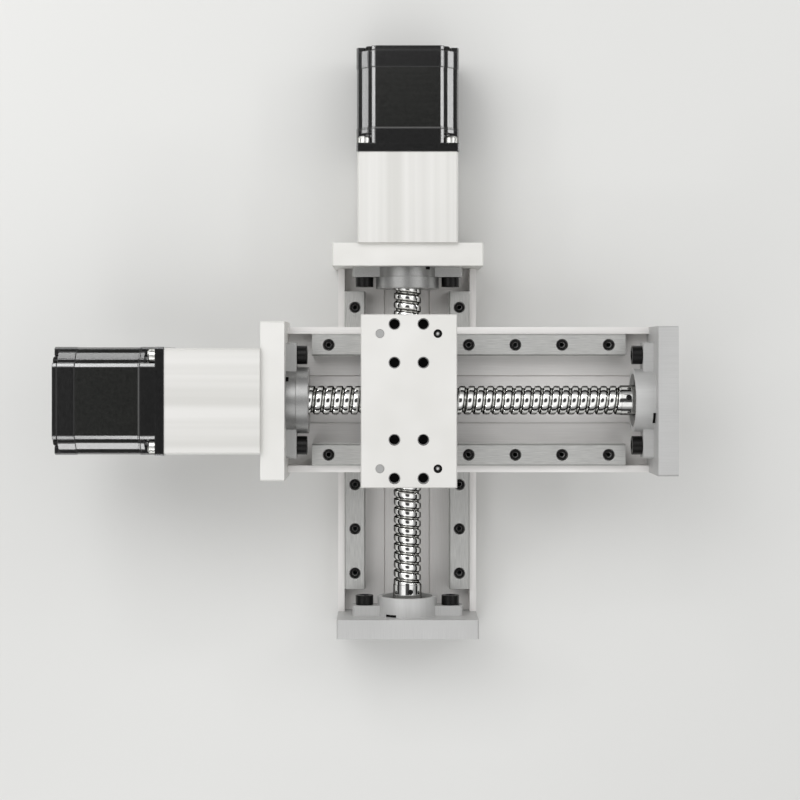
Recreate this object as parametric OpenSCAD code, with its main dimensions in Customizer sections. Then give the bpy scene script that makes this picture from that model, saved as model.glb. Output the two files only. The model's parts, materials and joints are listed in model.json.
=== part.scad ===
// Two-axis stage made of two ball screw linear modules of one kind.
// The lower module moves the whole upper module, which lies across it.
// Millimetres. +Z is up, z = 0 is the mounting face under the lower channel.
// Each module is drawn in its own frame: screw along X, motor at -X, channel foot at z = 0.

/* [Travel] */
// Working stroke of each carriage
stroke = 100; // [60:5:100]
// Carriage position of the lower module, from the middle of its channel
lower_pos = -24; // [-45:1:45]
// Carriage position of the upper module, from the middle of its channel
upper_pos = -32.4; // [-45:0.1:45]

/* [Channel] */
// Length of the base channel
channel_len = 194; // [190:1:260]
// Width of the base channel
channel_w = 78; // [76:1:84]
// Height of the channel's side walls
channel_h = 17; // [15:1:19]
// Thickness of a side wall
wall_t = 3.6; // [2.5:0.1:4]
// Thickness of the floor under the rails
floor_t = 8; // [7:0.5:9]
// Depth of the middle recess in the floor
recess_d = 1.5; // [1:0.5:2]
// Width of the middle recess
recess_w = 25.4; // [24:0.2:30]
// Spacing of the mounting holes under the channel, along it
foot_hole_x = 125; // [120:5:130]
// Spacing of the mounting holes under the channel, across it
foot_hole_y = 58; // [56:1:60]
// Depth of the mounting holes
foot_hole_depth = 6.5; // [5:0.5:6.5]

/* [Rails] */
// Width of a guide rail
rail_w = 11.7; // [11:0.1:12]
// Height of a guide rail
rail_h = 13; // [12:0.5:13]
// Spacing of the rail screws
rail_pitch = 25; // [24:1:26]
// Distance from a rail's end to the end plate
rail_end_gap = 13; // [12:0.5:16]
// Number of screws in each rail
rail_screw_count = 7; // [3:1:7]
// Diameter of the guide balls
guide_ball_d = 4.762; // [4:0.001:5]
// Guide balls on each side of the slider
guide_ball_count = 6; // [4:1:6]

/* [Screw] */
// Height of the screw's axis above the foot
axis_z = 30; // [30:0.5:32]
// Outside diameter of the thread
thread_d = 15.3; // [15:0.1:15.8]
// Lead of the thread
lead = 5; // [4:0.5:6]
// Depth of the ball groove
groove_depth = 1.3; // [0.8:0.1:1.5]
// Diameter of the screw's bearing journals
journal_d = 12; // [10:0.5:12]
// Diameter of the journal in the coupling
drive_journal_d = 10; // [8:0.5:10]
// Diameter of the collar at the far end of the thread
collar_d = 15.8; // [15:0.1:16]
// Length of the collar
collar_len = 8.2; // [7:0.1:8.5]

/* [Bearings] */
// Outside diameter of a bearing
bearing_od = 28; // [28:0.5:28.5]
// Width of a bearing
bearing_w = 8; // [8:0.5:8.5]
// Diameter of the bearing balls
bearing_ball_d = 4.762; // [4.5:0.001:4.8]
// Width of a bearing housing's flange
flange_w = 61; // [58:1:63]
// Height of a bearing housing's flange
flange_h = 13; // [12:0.5:16]
// Thickness of a bearing housing's flange
flange_t = 5.5; // [5:0.5:6.5]
// Spacing of the housing screws across the module
flange_hole_y = 48; // [47:1:50]
// Diameter of a bearing housing's round boss
boss_d = 33.2; // [32:0.1:33.5]
// Length of the far boss in front of its flange
boss_len = 5; // [3:0.5:6]

/* [End plates] */
// Height of both end plates
plate_h = 54; // [50:1:54]
// Width of the motor plate
motor_plate_w = 83; // [80:1:86]
// Thickness of the motor plate
motor_plate_t = 12.5; // [12:0.5:14]
// Width of the far plate
far_plate_w = 78; // [76:1:82]
// Thickness of the far plate
far_plate_t = 10.5; // [9:0.5:12]

/* [Table] */
// Length of the table along the screw
table_len = 50; // [50:1:52]
// Width of the table across the screw
table_w = 90; // [86:1:96]
// Thickness of the table
table_t = 9; // [8:0.5:10]
// Height of the table's top face above the foot
table_z = 55; // [55:0.5:58]
// Depth of the table's M6 holes
table_hole_depth = 8.2; // [7:0.1:8.4]
// Spacing of the table's M6 holes along the screw
table_hole_x = 15; // [15:0.5:16]
// Spacing of the inner M6 holes across the screw
table_hole_y = 40; // [40:1:42]
// Spacing of the outer M6 holes across the screw
table_hole_y2 = 80; // [78:1:80]
// Spacing of the small holes along the screw
pin_x = 30; // [30:1:32]
// Spacing of the small holes across the screw
pin_y = 70; // [68:1:70]
// Diameter of the dowel pins and the small screws
pin_d = 4.5; // [4:0.1:4.8]

/* [Slider] */
// Width of the slider above the rails
slider_w = 80; // [78:1:82]
// Thickness of a plastic end cap
cap_t = 3; // [2.5:0.1:3]
// Gap between the slider and a rail
slide_gap = 0.5; // [0.4:0.1:0.6]
// Diameter of the ball nut's body
nut_d = 28; // [27:0.5:28]
// Width of the ball nut's flange
nut_flange_w = 44; // [42:1:44]
// Height of the ball nut's flange
nut_flange_h = 29; // [29:0.5:30]
// Thickness of the ball nut's flange
nut_flange_t = 8; // [7:0.5:8]

/* [Motor and coupling] */
// How much narrower the square coupling housing is than the motor
housing_step = 1.4; // [0.4:0.1:2.4]
// Length of the coupling housing
housing_len = 49.5; // [48:0.5:60]
// Bore of the coupling housing
housing_bore = 38.3; // [36:0.1:38.5]
// Outside diameter of the coupling
coupling_d = 30; // [26:1:32]
// Length of one coupling hub
hub_len = 11; // [9:0.5:12]
// Thickness of the coupling's spider
spider_t = 8; // [6:0.5:9]
// Side of the square motor
motor_w = 56.4; // [56:0.1:57]
// Width of a motor corner's slope
motor_slope = 10; // [8:0.5:10.5]
// Length of the motor's front cap
front_cap_len = 12.7; // [12:0.1:14]
// Length of the stator
stator_len = 33.5; // [30:0.5:60]
// Length of the motor's rear cap
rear_cap_len = 11.7; // [11:0.1:14]
// Distance of a mounting screw from the motor's side
motor_hole_edge = 4.63; // [4.6:0.01:4.9]
// Distance of a case screw from the motor's side
case_hole_edge = 7.65; // [7.4:0.05:8]
// Diameter of the motor's shaft
shaft_d = 8; // [6.35:0.05:8]
// Length of the motor's shaft in front of its face
shaft_len = 20.6; // [19:0.1:21]

/* [Fasteners] */
// Thread diameter of the housing, table and stacking screws
m6 = 6; // [5.8:0.1:6]
// Thread diameter of the end plate and motor screws
m4 = 4; // [3.5:0.1:4]
// Thread diameter of the rail screws
m3 = 3; // [2.8:0.1:3]
// Gap between a screw and its hole, all round
screw_gap = 0.1; // [0.05:0.01:0.15]

/* [Hidden] */
$fn = 96;
fit = 0.1;
PARTS = [
    "channel", "rails", "rail_screws", "motor_plate", "far_plate", "end_plate_screws",
    "fixed_bearing_housing", "support_bearing_housing", "bearing_housing_screws",
    "bearing_outer_rings", "bearing_inner_rings", "locking_rings", "ball_screw",
    "ball_nut", "nut_screws", "slider_block", "slider_end_caps", "slider_balls",
    "table", "table_pins", "coupling_hubs", "coupling_spider", "coupling_housing",
    "motor_front_cap", "motor_stator", "motor_rear_cap", "motor_screws", "motor_rotor",
    "motor_connector"
];

// Places along the screw, from the middle of the channel
end_x = channel_len / 2;
housing_x = -end_x - motor_plate_t;
motor_x = housing_x - housing_len;
stator_x = motor_x - front_cap_len;
rear_x = stator_x - stator_len;
motor_end_x = rear_x - rear_cap_len;

housing_w = motor_w - housing_step;
motor_hole = motor_w - 2 * motor_hole_edge;
case_hole = motor_w - 2 * case_hole_edge;

// Fixed bearing unit, at the motor end
flange_x = -end_x + flange_t;
nose_d = boss_d + 2;
nose_len = 6.4;
lip_t = 2.9;
nose_x = flange_x + nose_len;
fixed_seat_x = nose_x - lip_t;
pair_w = 2 * bearing_w + fit;
pilot_d = 34;
pilot_end_x = fixed_seat_x - pair_w - 0.6;
lock_nut_d = 24;
lock_nut_t = 7;
hub_motor_x = motor_x + shaft_len;
hub_screw_x = hub_motor_x + spider_t;
drive_end_x = hub_screw_x + 0.5;

// Support bearing unit, at the far end
boss_x = end_x - flange_t - boss_len;
support_x = boss_x + 1.7;
support_pilot = 3;
far_end_x = support_x + bearing_w + 2.2;

// Thread
thread_start = fixed_seat_x + 0.3;
thread_end = support_x - collar_len;
thread_len = thread_end - thread_start;
turns = floor((thread_len - 2) / lead);
run_in = (thread_len - turns * lead) / 2;
sides = 18;
// One lead of the thread's profile: place along the axis, and share of the groove's depth
profile = [[0.02, 0], [0.56, 0], [0.64, 0.75], [0.79, 1], [0.94, 0.75]];

// Rails: they stand against the channel's walls
rail_gap = 0.1;
rail_len = channel_len - 2 * rail_end_gap;
rail_y = channel_w / 2 - wall_t - rail_gap - rail_w;

// Carriage
slider_len = table_len - 2 * cap_t - nut_flange_t;
slider_top = table_z - table_t;
slider_start = -table_len / 2;
wing_z = floor_t + rail_h + 1;
foot_z = floor_t + 2.5;
foot_half = rail_y - slide_gap;
guide_z = floor_t + rail_h - 5.5;
guide_y = rail_y - slide_gap / 2;
nut_hole_y = 33;
nut_hole_z = 16;

// End plate screws: their rows across the channel, and their grip behind a plate
plate_rows = [-32, -17, 17, 32];
plate_grip = 5;
nut_grip = 4;
stack_len = 13.5;

// Fasteners: head diameter, head height and hexagon across flats, for one thread diameter
function head_d(d) = (d == m3 ? 1.83 : 1.65) * d;
function head_h(d) = 0.9 * d;
function hex_w(d) = 0.83 * d;

// Ring of equal places around or along: count places, one pitch apart, about zero
function row(count, pitch) = [for (i = [0 : count - 1]) (i - (count - 1) / 2) * pitch];
function grid(dx, dy) = [for (sx = [-1, 1], sy = [-1, 1]) [sx * dx / 2, sy * dy / 2]];

// Puts a thing made along +Z onto the screw axis, looking along +X from place x
module on_axis(x) {
    translate([x, 0, axis_z]) rotate([0, 90, 0]) children();
}

// A round bar or bore on the screw axis, from x = from to x = to
module bar(d, from, to) {
    on_axis(from) cylinder(d = d, h = to - from);
}

// A plate across the screw: its own outline in y and z, from x = from, t thick
module across(from, t) {
    translate([from, 0, 0]) rotate([90, 0, 90]) linear_extrude(t) children();
}

// A rectangle with cut corners
module cut_square(w, h, c) {
    polygon([
        [-w / 2 + c, -h / 2], [w / 2 - c, -h / 2], [w / 2, -h / 2 + c], [w / 2, h / 2 - c],
        [w / 2 - c, h / 2], [-w / 2 + c, h / 2], [-w / 2, h / 2 - c], [-w / 2, -h / 2 + c]
    ]);
}

// A block with its upper edges bevelled, on its middle
module bevelled_block(l, w, h, c) {
    intersection() {
        rotate([90, 0, 90]) linear_extrude(l, center = true) bevelled_side(w, h, c);
        rotate([90, 0, 0]) linear_extrude(w, center = true) bevelled_side(l, h, c);
    }
}

// Side view of a block whose two upper corners are cut
module bevelled_side(w, h, c) {
    polygon([[-w / 2, 0], [w / 2, 0], [w / 2, h - c], [w / 2 - c, h], [-w / 2 + c, h], [-w / 2, h - c]]);
}

// Socket screw: head below z = 0 on its top face, shank down to -len
module socket_screw(d, len) {
    head = head_h(d);
    difference() {
        union() {
            translate([0, 0, -head]) cylinder(d = head_d(d), h = head);
            translate([0, 0, -head - len]) cylinder(d = d - 2 * screw_gap, h = len + 0.01);
        }
        translate([0, 0, -head * 0.55]) cylinder(d = hex_w(d) / cos(30), h = head, $fn = 6);
    }
}

// Round-headed screw with a cross slot: head stands on z = 0, shank goes down to -len
module pan_screw(d, len, head) {
    difference() {
        union() {
            cylinder(d = head, h = head * 0.38);
            translate([0, 0, head * 0.38]) cylinder(d1 = head, d2 = head * 0.8, h = head * 0.12, $fn = 48);
            translate([0, 0, -len]) cylinder(d = d - 2 * screw_gap, h = len + 0.01);
        }
        for (a = [0, 90]) rotate(a) translate([-head * 0.3, -0.5, head * 0.2])
            cube([head * 0.6, 1, head]);
    }
}

// Room for a socket screw's head, sunk below z = 0
module head_seat(d) {
    translate([0, 0, -head_h(d) - 0.4]) cylinder(d = head_d(d) + 0.8, h = head_h(d) + 2);
}

module rail_place() {
    for (x = row(rail_screw_count, rail_pitch), s = [-1, 1])
        translate([x, s * (rail_y + rail_w / 2), floor_t + rail_h]) children();
}

module channel_outline() {
    half = channel_w / 2;
    ledge = recess_w / 2;
    difference() {
        polygon([
            [-half, 0.5], [-half + 0.5, 0], [half - 0.5, 0], [half, 0.5], [half, channel_h],
            [half - wall_t, channel_h], [half - wall_t, floor_t], [ledge + 0.4, floor_t],
            [ledge, floor_t - recess_d], [-ledge, floor_t - recess_d], [-ledge - 0.4, floor_t],
            [-half + wall_t, floor_t], [-half + wall_t, channel_h], [-half, channel_h]
        ]);
        translate([-recess_w / 2, -1]) square([recess_w, 1.8]);
    }
}

module channel(stack_holes) {
    color("silver") difference() {
        across(-end_x, channel_len) channel_outline();
        rail_place() translate([0, 0, -rail_h - 6]) cylinder(d = m3, h = 7);
        for (p = grid(foot_hole_x, foot_hole_y))
            translate([p[0], p[1], -1]) cylinder(d = m6, h = foot_hole_depth + 1);
        for (s = [-1, 1], y = plate_rows)
            translate([s * (end_x - 11), y, floor_t / 2]) rotate([0, s * 90, 0]) cylinder(d = m4, h = 20);
        if (stack_holes) stack_place() translate([0, 0, -1]) cylinder(d = m6 + 0.6, h = floor_t + 2);
    }
}

// Places of the four stacking screws, in the upper module's frame
module stack_place() {
    for (p = grid(table_hole_y, table_hole_x)) translate([upper_pos + p[0], p[1], 0]) children();
}

module rails() {
    color("darkgray") difference() {
        for (s = [-1, 1]) scale([1, s, 1]) translate([-rail_len / 2, rail_y, floor_t]) rotate([90, 0, 90])
            linear_extrude(rail_len) polygon([
                [0, 0], [rail_w, 0], [rail_w, rail_h - 0.8], [rail_w - 0.8, rail_h],
                [0.8, rail_h], [0, rail_h - 0.8]
            ]);
        for (s = [-1, 1]) translate([-end_x, s * guide_y, guide_z]) rotate([0, 90, 0])
            cylinder(d = guide_ball_d + 2 * fit, h = channel_len);
        rail_place() {
            translate([0, 0, -head_h(m3) - 0.3]) cylinder(d = head_d(m3) + 0.9, h = m3 + 1);
            translate([0, 0, -rail_h - 1]) cylinder(d = m3 + 0.3, h = rail_h + 2);
        }
    }
}

module rail_screws() {
    color("black") rail_place() translate([0, 0, -0.3]) socket_screw(m3, rail_h - head_h(m3) + 5);
}

// Places of the screws that hold an end plate to the channel, head side outwards
module plate_place(s, plate) {
    for (y = plate_rows)
        translate([s * (end_x + plate), y, floor_t / 2]) rotate([0, s * 90, 0]) children();
}

// Places of the screws that hold the coupling housing to the motor plate
module cover_place() {
    for (p = grid(housing_w - 11, plate_h - 16))
        translate([-end_x, p[0], axis_z + p[1]]) rotate([0, 90, 0]) children();
}

module flange_place(x) {
    for (y = row(2, flange_hole_y)) translate([x, y, axis_z]) rotate([0, 90, 0]) children();
}

module motor_plate() {
    color("gainsboro") difference() {
        across(-end_x - motor_plate_t, motor_plate_t)
            translate([0, plate_h / 2 + 0.15]) cut_square(motor_plate_w, plate_h - 0.3, 0.8);
        bar(pilot_d + 2 * fit, -end_x - motor_plate_t - 1, -end_x + 1);
        plate_place(-1, motor_plate_t) {
            head_seat(m4);
            translate([0, 0, -motor_plate_t - 1]) cylinder(d = m4 + 0.4, h = motor_plate_t + 2);
        }
        cover_place() {
            head_seat(m4);
            translate([0, 0, -motor_plate_t - 1]) cylinder(d = m4 + 0.4, h = motor_plate_t + 2);
        }
        flange_place(-end_x) translate([0, 0, -10.5]) cylinder(d = m6, h = 12);
    }
}

module far_plate() {
    color("silver") difference() {
        across(end_x, far_plate_t)
            translate([0, plate_h / 2 + 0.15]) cut_square(far_plate_w, plate_h - 0.3, 0.8);
        bar(pilot_d + 2 * fit, end_x - 1, end_x + support_pilot + 1.5);
        plate_place(1, far_plate_t) {
            head_seat(m4);
            translate([0, 0, -far_plate_t - 1]) cylinder(d = m4 + 0.4, h = far_plate_t + 2);
        }
        flange_place(end_x) translate([0, 0, -1]) cylinder(d = m6, h = 9.5);
    }
}

module end_plate_screws() {
    color("dimgray") {
        plate_place(-1, motor_plate_t) translate([0, 0, -0.4]) socket_screw(m4, motor_plate_t + plate_grip);
        plate_place(1, far_plate_t) translate([0, 0, -0.4]) socket_screw(m4, far_plate_t + plate_grip);
        cover_place() translate([0, 0, -0.4]) socket_screw(m4, motor_plate_t + plate_grip);
    }
}

// A bearing housing's flange, with the boss that runs through it
module flange_blank(from) {
    across(from, flange_t) translate([0, axis_z]) cut_square(flange_w, flange_h, 1);
    bar(boss_d, from, from + flange_t);
}

// A shallow slot in the boss next to its end plate, w wide, turned sideways by angle
module boss_slot(x, w, angle) {
    translate([x, 0, axis_z]) rotate([-angle, 0, 0]) translate([0, -w / 2, boss_d / 2 - 1.2])
        cube([1.4, w, 3]);
}

module fixed_bearing_housing() {
    color("gray") difference() {
        union() {
            flange_blank(-end_x);
            bar(nose_d, flange_x, nose_x);
            bar(pilot_d, pilot_end_x, -end_x);
        }
        bar(bearing_od + 2 * fit, pilot_end_x - 1, fixed_seat_x);
        bar(thread_d + 1.6, -end_x, nose_x + 1);
        flange_place(-end_x) translate([0, 0, -1]) cylinder(d = m6 + 0.4, h = flange_t + 2);
        boss_slot(-end_x, 3, 43);
    }
}

module support_bearing_housing() {
    color("silver") difference() {
        union() {
            flange_blank(end_x - flange_t);
            bar(boss_d, boss_x, end_x - flange_t);
            bar(pilot_d, end_x, end_x + support_pilot);
        }
        bar(bearing_od + 2 * fit, boss_x - 1, end_x + support_pilot + 1);
        flange_place(end_x - flange_t) translate([0, 0, -1]) cylinder(d = m6 + 0.4, h = flange_t + 2);
        boss_slot(end_x - 1.4, 6.5, -34);
    }
}

module bearing_housing_screws() {
    color("black") {
        flange_place(flange_x) translate([0, 0, head_h(m6)]) socket_screw(m6, flange_t + 9);
        flange_place(end_x - flange_t) rotate([180, 0, 0]) translate([0, 0, head_h(m6)])
            socket_screw(m6, flange_t + 8);
    }
}

// Places of the three bearings on the screw axis
module bearing_place() {
    for (x = [fixed_seat_x - pair_w, fixed_seat_x - bearing_w, support_x]) on_axis(x) children();
}

ball_ring_r = (bearing_od + journal_d) / 4;
ring_t = 2.4;

module raceway() {
    translate([0, 0, bearing_w / 2]) rotate_extrude() translate([ball_ring_r, 0])
        circle(d = bearing_ball_d + fit);
}

module bearing_outer_rings() {
    color("silver") bearing_place() difference() {
        cylinder(d = bearing_od, h = bearing_w);
        translate([0, 0, -1]) cylinder(d = bearing_od - 2 * ring_t, h = bearing_w + 2);
        raceway();
    }
}

module bearing_inner_rings() {
    color("lightgray") bearing_place() {
        difference() {
            cylinder(d = journal_d + 2 * ring_t, h = bearing_w);
            translate([0, 0, -1]) cylinder(d = journal_d + fit, h = bearing_w + 2);
            raceway();
        }
        for (a = [0 : 45 : 315]) rotate(a) translate([ball_ring_r, 0, bearing_w / 2])
            sphere(d = bearing_ball_d - fit);
    }
}

// Place of the collar's set screw, a little off the top
module collar_screw_place() {
    translate([thread_end + 0.46 * collar_len, 0, axis_z]) rotate([-12, 0, 0]) children();
}

module locking_rings() {
    color("gainsboro") {
        difference() {
            bar(collar_d, thread_end + 0.1, support_x - 0.05);
            bar(journal_d + fit, thread_end - 1, support_x + 1);
            collar_screw_place() cylinder(d = m3, h = collar_d);
        }
        collar_screw_place() translate([0, 0, journal_d / 2 + fit]) difference() {
            cylinder(d = m3 - 2 * screw_gap, h = 1.4);
            translate([0, 0, 0.5]) cylinder(d = 1.5, h = 2, $fn = 6);
        }
        difference() {
            bar(lock_nut_d, fixed_seat_x - pair_w - lock_nut_t - 0.05, fixed_seat_x - pair_w - 0.05);
            bar(journal_d + fit, fixed_seat_x - pair_w - lock_nut_t - 1, fixed_seat_x);
            for (a = [45 : 90 : 315]) on_axis(fixed_seat_x - pair_w - lock_nut_t - 1) rotate(a)
                translate([lock_nut_d / 2 - 1.5, -1.5, 0]) cube([3, 3, lock_nut_t + 2]);
        }
    }
}

// One point of the thread: column i of the sides, step m along its helix
function groove_share(u) = max(0, min(1, u, turns - 1 / sides - u));
function thread_point(i, m) =
    let (
        j = floor(m / len(profile)),
        p = profile[m % len(profile)],
        u = j + i / sides,
        r = thread_d / 2 - groove_depth * p[1] * groove_share(u)
    )
    [r * cos(360 * i / sides), r * sin(360 * i / sides), run_in + lead * (u + p[0])];
function rim_point(i, z) = [thread_d / 2 * cos(360 * i / sides), thread_d / 2 * sin(360 * i / sides), z];

// The threaded length along +Z: each column runs from the start rim along its helix to the end rim
module thread() {
    steps = turns * len(profile);
    column = steps + 2;
    skip = len(profile);
    points = [
        for (i = [0 : sides - 1]) each concat(
            [rim_point(i, 0)], [for (m = [0 : steps - 1]) thread_point(i, m)], [rim_point(i, thread_len)]
        )
    ];
    last = (sides - 1) * column;
    faces = concat(
        [for (i = [0 : sides - 2], m = [0 : column - 2]) each [
            [i * column + m, i * column + m + 1, (i + 1) * column + m + 1],
            [i * column + m, (i + 1) * column + m + 1, (i + 1) * column + m]
        ]],
        [for (m = [1 : steps - skip - 1]) each [
            [last + m, last + m + 1, m + 1 + skip],
            [last + m, m + 1 + skip, m + skip]
        ]],
        [for (m = [0 : skip]) [last, m + 1, m]],
        [[last, last + 1, skip + 1]],
        [for (m = [steps - skip : steps]) [last + m, last + m + 1, column - 1]],
        [[last + steps - skip, column - 1, column - 2]],
        [[for (i = [0 : sides - 1]) i * column]],
        [[for (i = [sides - 1 : -1 : 0]) i * column + column - 1]]
    );
    polyhedron(points = points, faces = faces);
}

// Both screws have left-hand threads, so the right-hand helix is mirrored
module ball_screw() {
    color("whitesmoke") union() {
        on_axis(thread_start) mirror([0, 1, 0]) thread();
        bar(journal_d, fixed_seat_x - pair_w - lock_nut_t - 2, thread_start);
        bar(drive_journal_d, drive_end_x, fixed_seat_x - pair_w - lock_nut_t - 2);
        bar(journal_d, thread_end, far_end_x);
    }
}

// Puts a carriage piece at the module's carriage position
module carriage(x) {
    translate([x, 0, 0]) children();
}

nut_x = slider_start + slider_len + 2 * cap_t;

module nut_screw_place() {
    for (p = grid(nut_hole_y, nut_hole_z))
        translate([nut_x + nut_flange_t, p[0], axis_z + p[1]]) rotate([0, 90, 0]) children();
}

module ball_nut() {
    color("slategray") difference() {
        union() {
            bar(nut_d, slider_start + 1, nut_x);
            across(nut_x, nut_flange_t) translate([0, axis_z]) cut_square(nut_flange_w, nut_flange_h, 4);
        }
        bar(thread_d + 0.7, slider_start, nut_x + nut_flange_t + 1);
        nut_screw_place() {
            translate([0, 0, -m4]) cylinder(d = head_d(m4) + 0.6, h = m4 + 1);
            translate([0, 0, -nut_flange_t - 1]) cylinder(d = m4 + 0.4, h = nut_flange_t + 2);
        }
    }
}

module nut_screws() {
    color("black") nut_screw_place() translate([0, 0, -0.1]) socket_screw(m4, nut_flange_t + nut_grip);
}

// Outline of the slider's saddle, which spreads over both rails
module saddle_outline() {
    half = slider_w / 2;
    polygon([
        [-half + 3, wing_z], [half - 3, wing_z], [half, wing_z + 3], [half, slider_top],
        [-half, slider_top], [-half, wing_z + 3]
    ]);
}

// Outline of the slider's foot, which runs between the rails
module foot_outline(top) {
    translate([-foot_half, foot_z]) square([2 * foot_half, top - foot_z]);
}

module slider_block() {
    color("silver") difference() {
        union() {
            across(-table_len / 2, table_len) saddle_outline();
            across(slider_start + cap_t, slider_len) foot_outline(wing_z + 1);
        }
        bar(nut_d + 2 * fit, -table_len, nut_x + 1);
        translate([nut_x, -nut_flange_w / 2 - 0.3, foot_z]) cube([table_len, nut_flange_w + 0.6, table_z]);
        for (s = [-1, 1]) translate([-table_len, s * guide_y, guide_z]) rotate([0, 90, 0])
            cylinder(d = guide_ball_d + 2 * fit, h = 2 * table_len);
        nut_screw_place() translate([0, 0, -22]) cylinder(d = m4, h = 22);
        for (p = grid(pin_x, pin_y)) translate([p[0], p[1], slider_top - 8]) cylinder(d = pin_d, h = 9);
    }
}

// Plastic caps that turn the guide balls round at both ends of the foot
module slider_end_caps() {
    color("dimgray") for (x = [slider_start, nut_x - cap_t]) difference() {
        across(x + 0.02, cap_t - 0.04) foot_outline(wing_z - 0.05);
        bar(nut_d + 2 * fit, slider_start - 1, nut_x + 1);
        nut_screw_place() translate([0, 0, -40]) cylinder(d = m4 + 0.4, h = 50);
    }
}

module slider_balls() {
    color("lightgray") for (s = [-1, 1], x = row(guide_ball_count, guide_ball_d + 0.9))
        translate([slider_start + cap_t + slider_len / 2 + x, s * guide_y, guide_z]) sphere(d = guide_ball_d);
}

module table_hole_place() {
    for (p = concat(grid(table_hole_x, table_hole_y), grid(table_hole_x, table_hole_y2)))
        translate([p[0], p[1], table_z - table_hole_depth]) children();
}

module table() {
    color("gainsboro") difference() {
        translate([0, 0, slider_top]) bevelled_block(table_len, table_w, table_t, 0.5);
        table_hole_place() cylinder(d = m6, h = table_t + 2);
        for (p = grid(pin_x, pin_y))
            translate([p[0], p[1], slider_top - 1]) cylinder(d = pin_d, h = table_t + 2);
    }
}

// Two dowel pins on the motor's side, and two press-in ball oilers on the other side
module table_pins() {
    long = table_t + 7.5;
    cup_d = pin_d - 1.7;
    color("lightgray") for (s = [-1, 1]) {
        translate([-pin_x / 2, s * pin_y / 2, slider_top - 7.8])
            cylinder(d = pin_d - 2 * screw_gap, h = long);
        translate([pin_x / 2, s * pin_y / 2, slider_top - 7.8]) {
            difference() {
                cylinder(d = pin_d - 2 * screw_gap, h = long);
                translate([0, 0, long - cup_d]) cylinder(d = cup_d, h = cup_d + 1);
            }
            translate([0, 0, long - cup_d / 2 - 0.2]) sphere(d = cup_d - 0.2);
        }
    }
}

claw_angle = 46;

// Three claws of a coupling hub, as one ring sector turned round the axis
module claws(from, len) {
    on_axis(from) for (a = [0, 120, 240]) rotate(a)
        rotate_extrude(angle = claw_angle) translate([coupling_d / 2 - 8, 0]) square([7.6, len]);
}

// One hub with its set screw: bored for a shaft, claws on the side that claw_side gives
module coupling_hub(from, bore, claw_from, turn) {
    middle = from + hub_len / 2;
    difference() {
        union() {
            bar(coupling_d, from, from + hub_len);
            translate([0, 0, axis_z]) rotate([turn, 0, 0]) translate([0, 0, -axis_z])
                claws(claw_from, spider_t - 0.4);
        }
        bar(bore + fit, from - spider_t, from + hub_len + spider_t);
        translate([middle, 0, axis_z]) cylinder(d = m4, h = coupling_d);
    }
    translate([middle, 0, axis_z + bore / 2 + fit]) cylinder(d = m4 - 2 * screw_gap, h = 6);
}

module coupling_hubs() {
    color("silver") {
        coupling_hub(hub_screw_x, drive_journal_d, hub_screw_x - spider_t + 0.5, 0);
        coupling_hub(hub_motor_x - hub_len, shaft_d, hub_motor_x - 0.1, 60);
    }
}

module coupling_spider() {
    color("firebrick") on_axis(hub_motor_x + 0.1) difference() {
        union() {
            cylinder(d = coupling_d - 17, h = spider_t - 0.2);
            for (a = [0 : 60 : 300]) rotate(a + claw_angle + 2) rotate_extrude(angle = 56 - claw_angle)
                translate([4, 0]) square([coupling_d / 2 - 4.5, spider_t - 0.2]);
        }
        translate([0, 0, -1]) cylinder(d = 7, h = spider_t + 2);
    }
}

module coupling_housing() {
    color("gainsboro") difference() {
        across(motor_x, housing_len) translate([0, axis_z]) cut_square(housing_w, housing_w, 1);
        bar(housing_bore, motor_x - 1, housing_x + 1);
        cover_place() translate([0, 0, -motor_plate_t - 11]) cylinder(d = m4, h = 12);
        for (p = grid(motor_hole, motor_hole))
            translate([motor_x - 1, p[0], axis_z + p[1]]) rotate([0, 90, 0]) cylinder(d = m4, h = 13);
    }
}

// Outline of the motor's body: a square with its corners sloped
module motor_outline() {
    cut_square(motor_w, motor_w, motor_slope);
}

front_flange_t = 4.8;
stator_bore = 35.2;
case_grip = 2.4;

module motor_front_cap() {
    color("black") difference() {
        union() {
            across(motor_x - front_flange_t, front_flange_t)
                translate([0, axis_z]) cut_square(motor_w, motor_w, 2.5);
            across(stator_x, front_cap_len - front_flange_t + 0.01) translate([0, axis_z]) motor_outline();
            bar(housing_bore - 0.2, motor_x, motor_x + 1.6);
        }
        bar(shaft_d + 0.6, stator_x - 1, motor_x + 3);
        for (p = grid(motor_hole, motor_hole)) translate([motor_x, p[0], axis_z + p[1]]) rotate([0, -90, 0]) {
            translate([0, 0, -3]) cylinder(d = m4 + 0.4, h = front_flange_t + 6);
            translate([0, 0, front_flange_t]) cylinder(d = 9, h = front_cap_len - front_flange_t - case_grip);
        }
        case_screw_place(stator_x - 1) cylinder(d = m3, h = 1 + case_grip + fit);
    }
}

module motor_stator() {
    color("dimgray") difference() {
        across(rear_x, stator_len) translate([0, axis_z])
            cut_square(motor_w - 0.6, motor_w - 0.6, motor_slope);
        bar(stator_bore, rear_x - 1, stator_x + 1);
        case_screw_place(rear_x - 1) cylinder(d = m3 + 0.2, h = stator_len + 2);
    }
}

rear_step = 2.4;
rear_band = motor_w - 23;
socket_w = 16;
socket_h = 6;

// Places of the long screws that hold the motor's case together, pointing along the motor
module case_screw_place(x) {
    for (p = grid(case_hole, case_hole)) translate([x, p[0], axis_z + p[1]]) rotate([0, 90, 0]) children();
}

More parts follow.
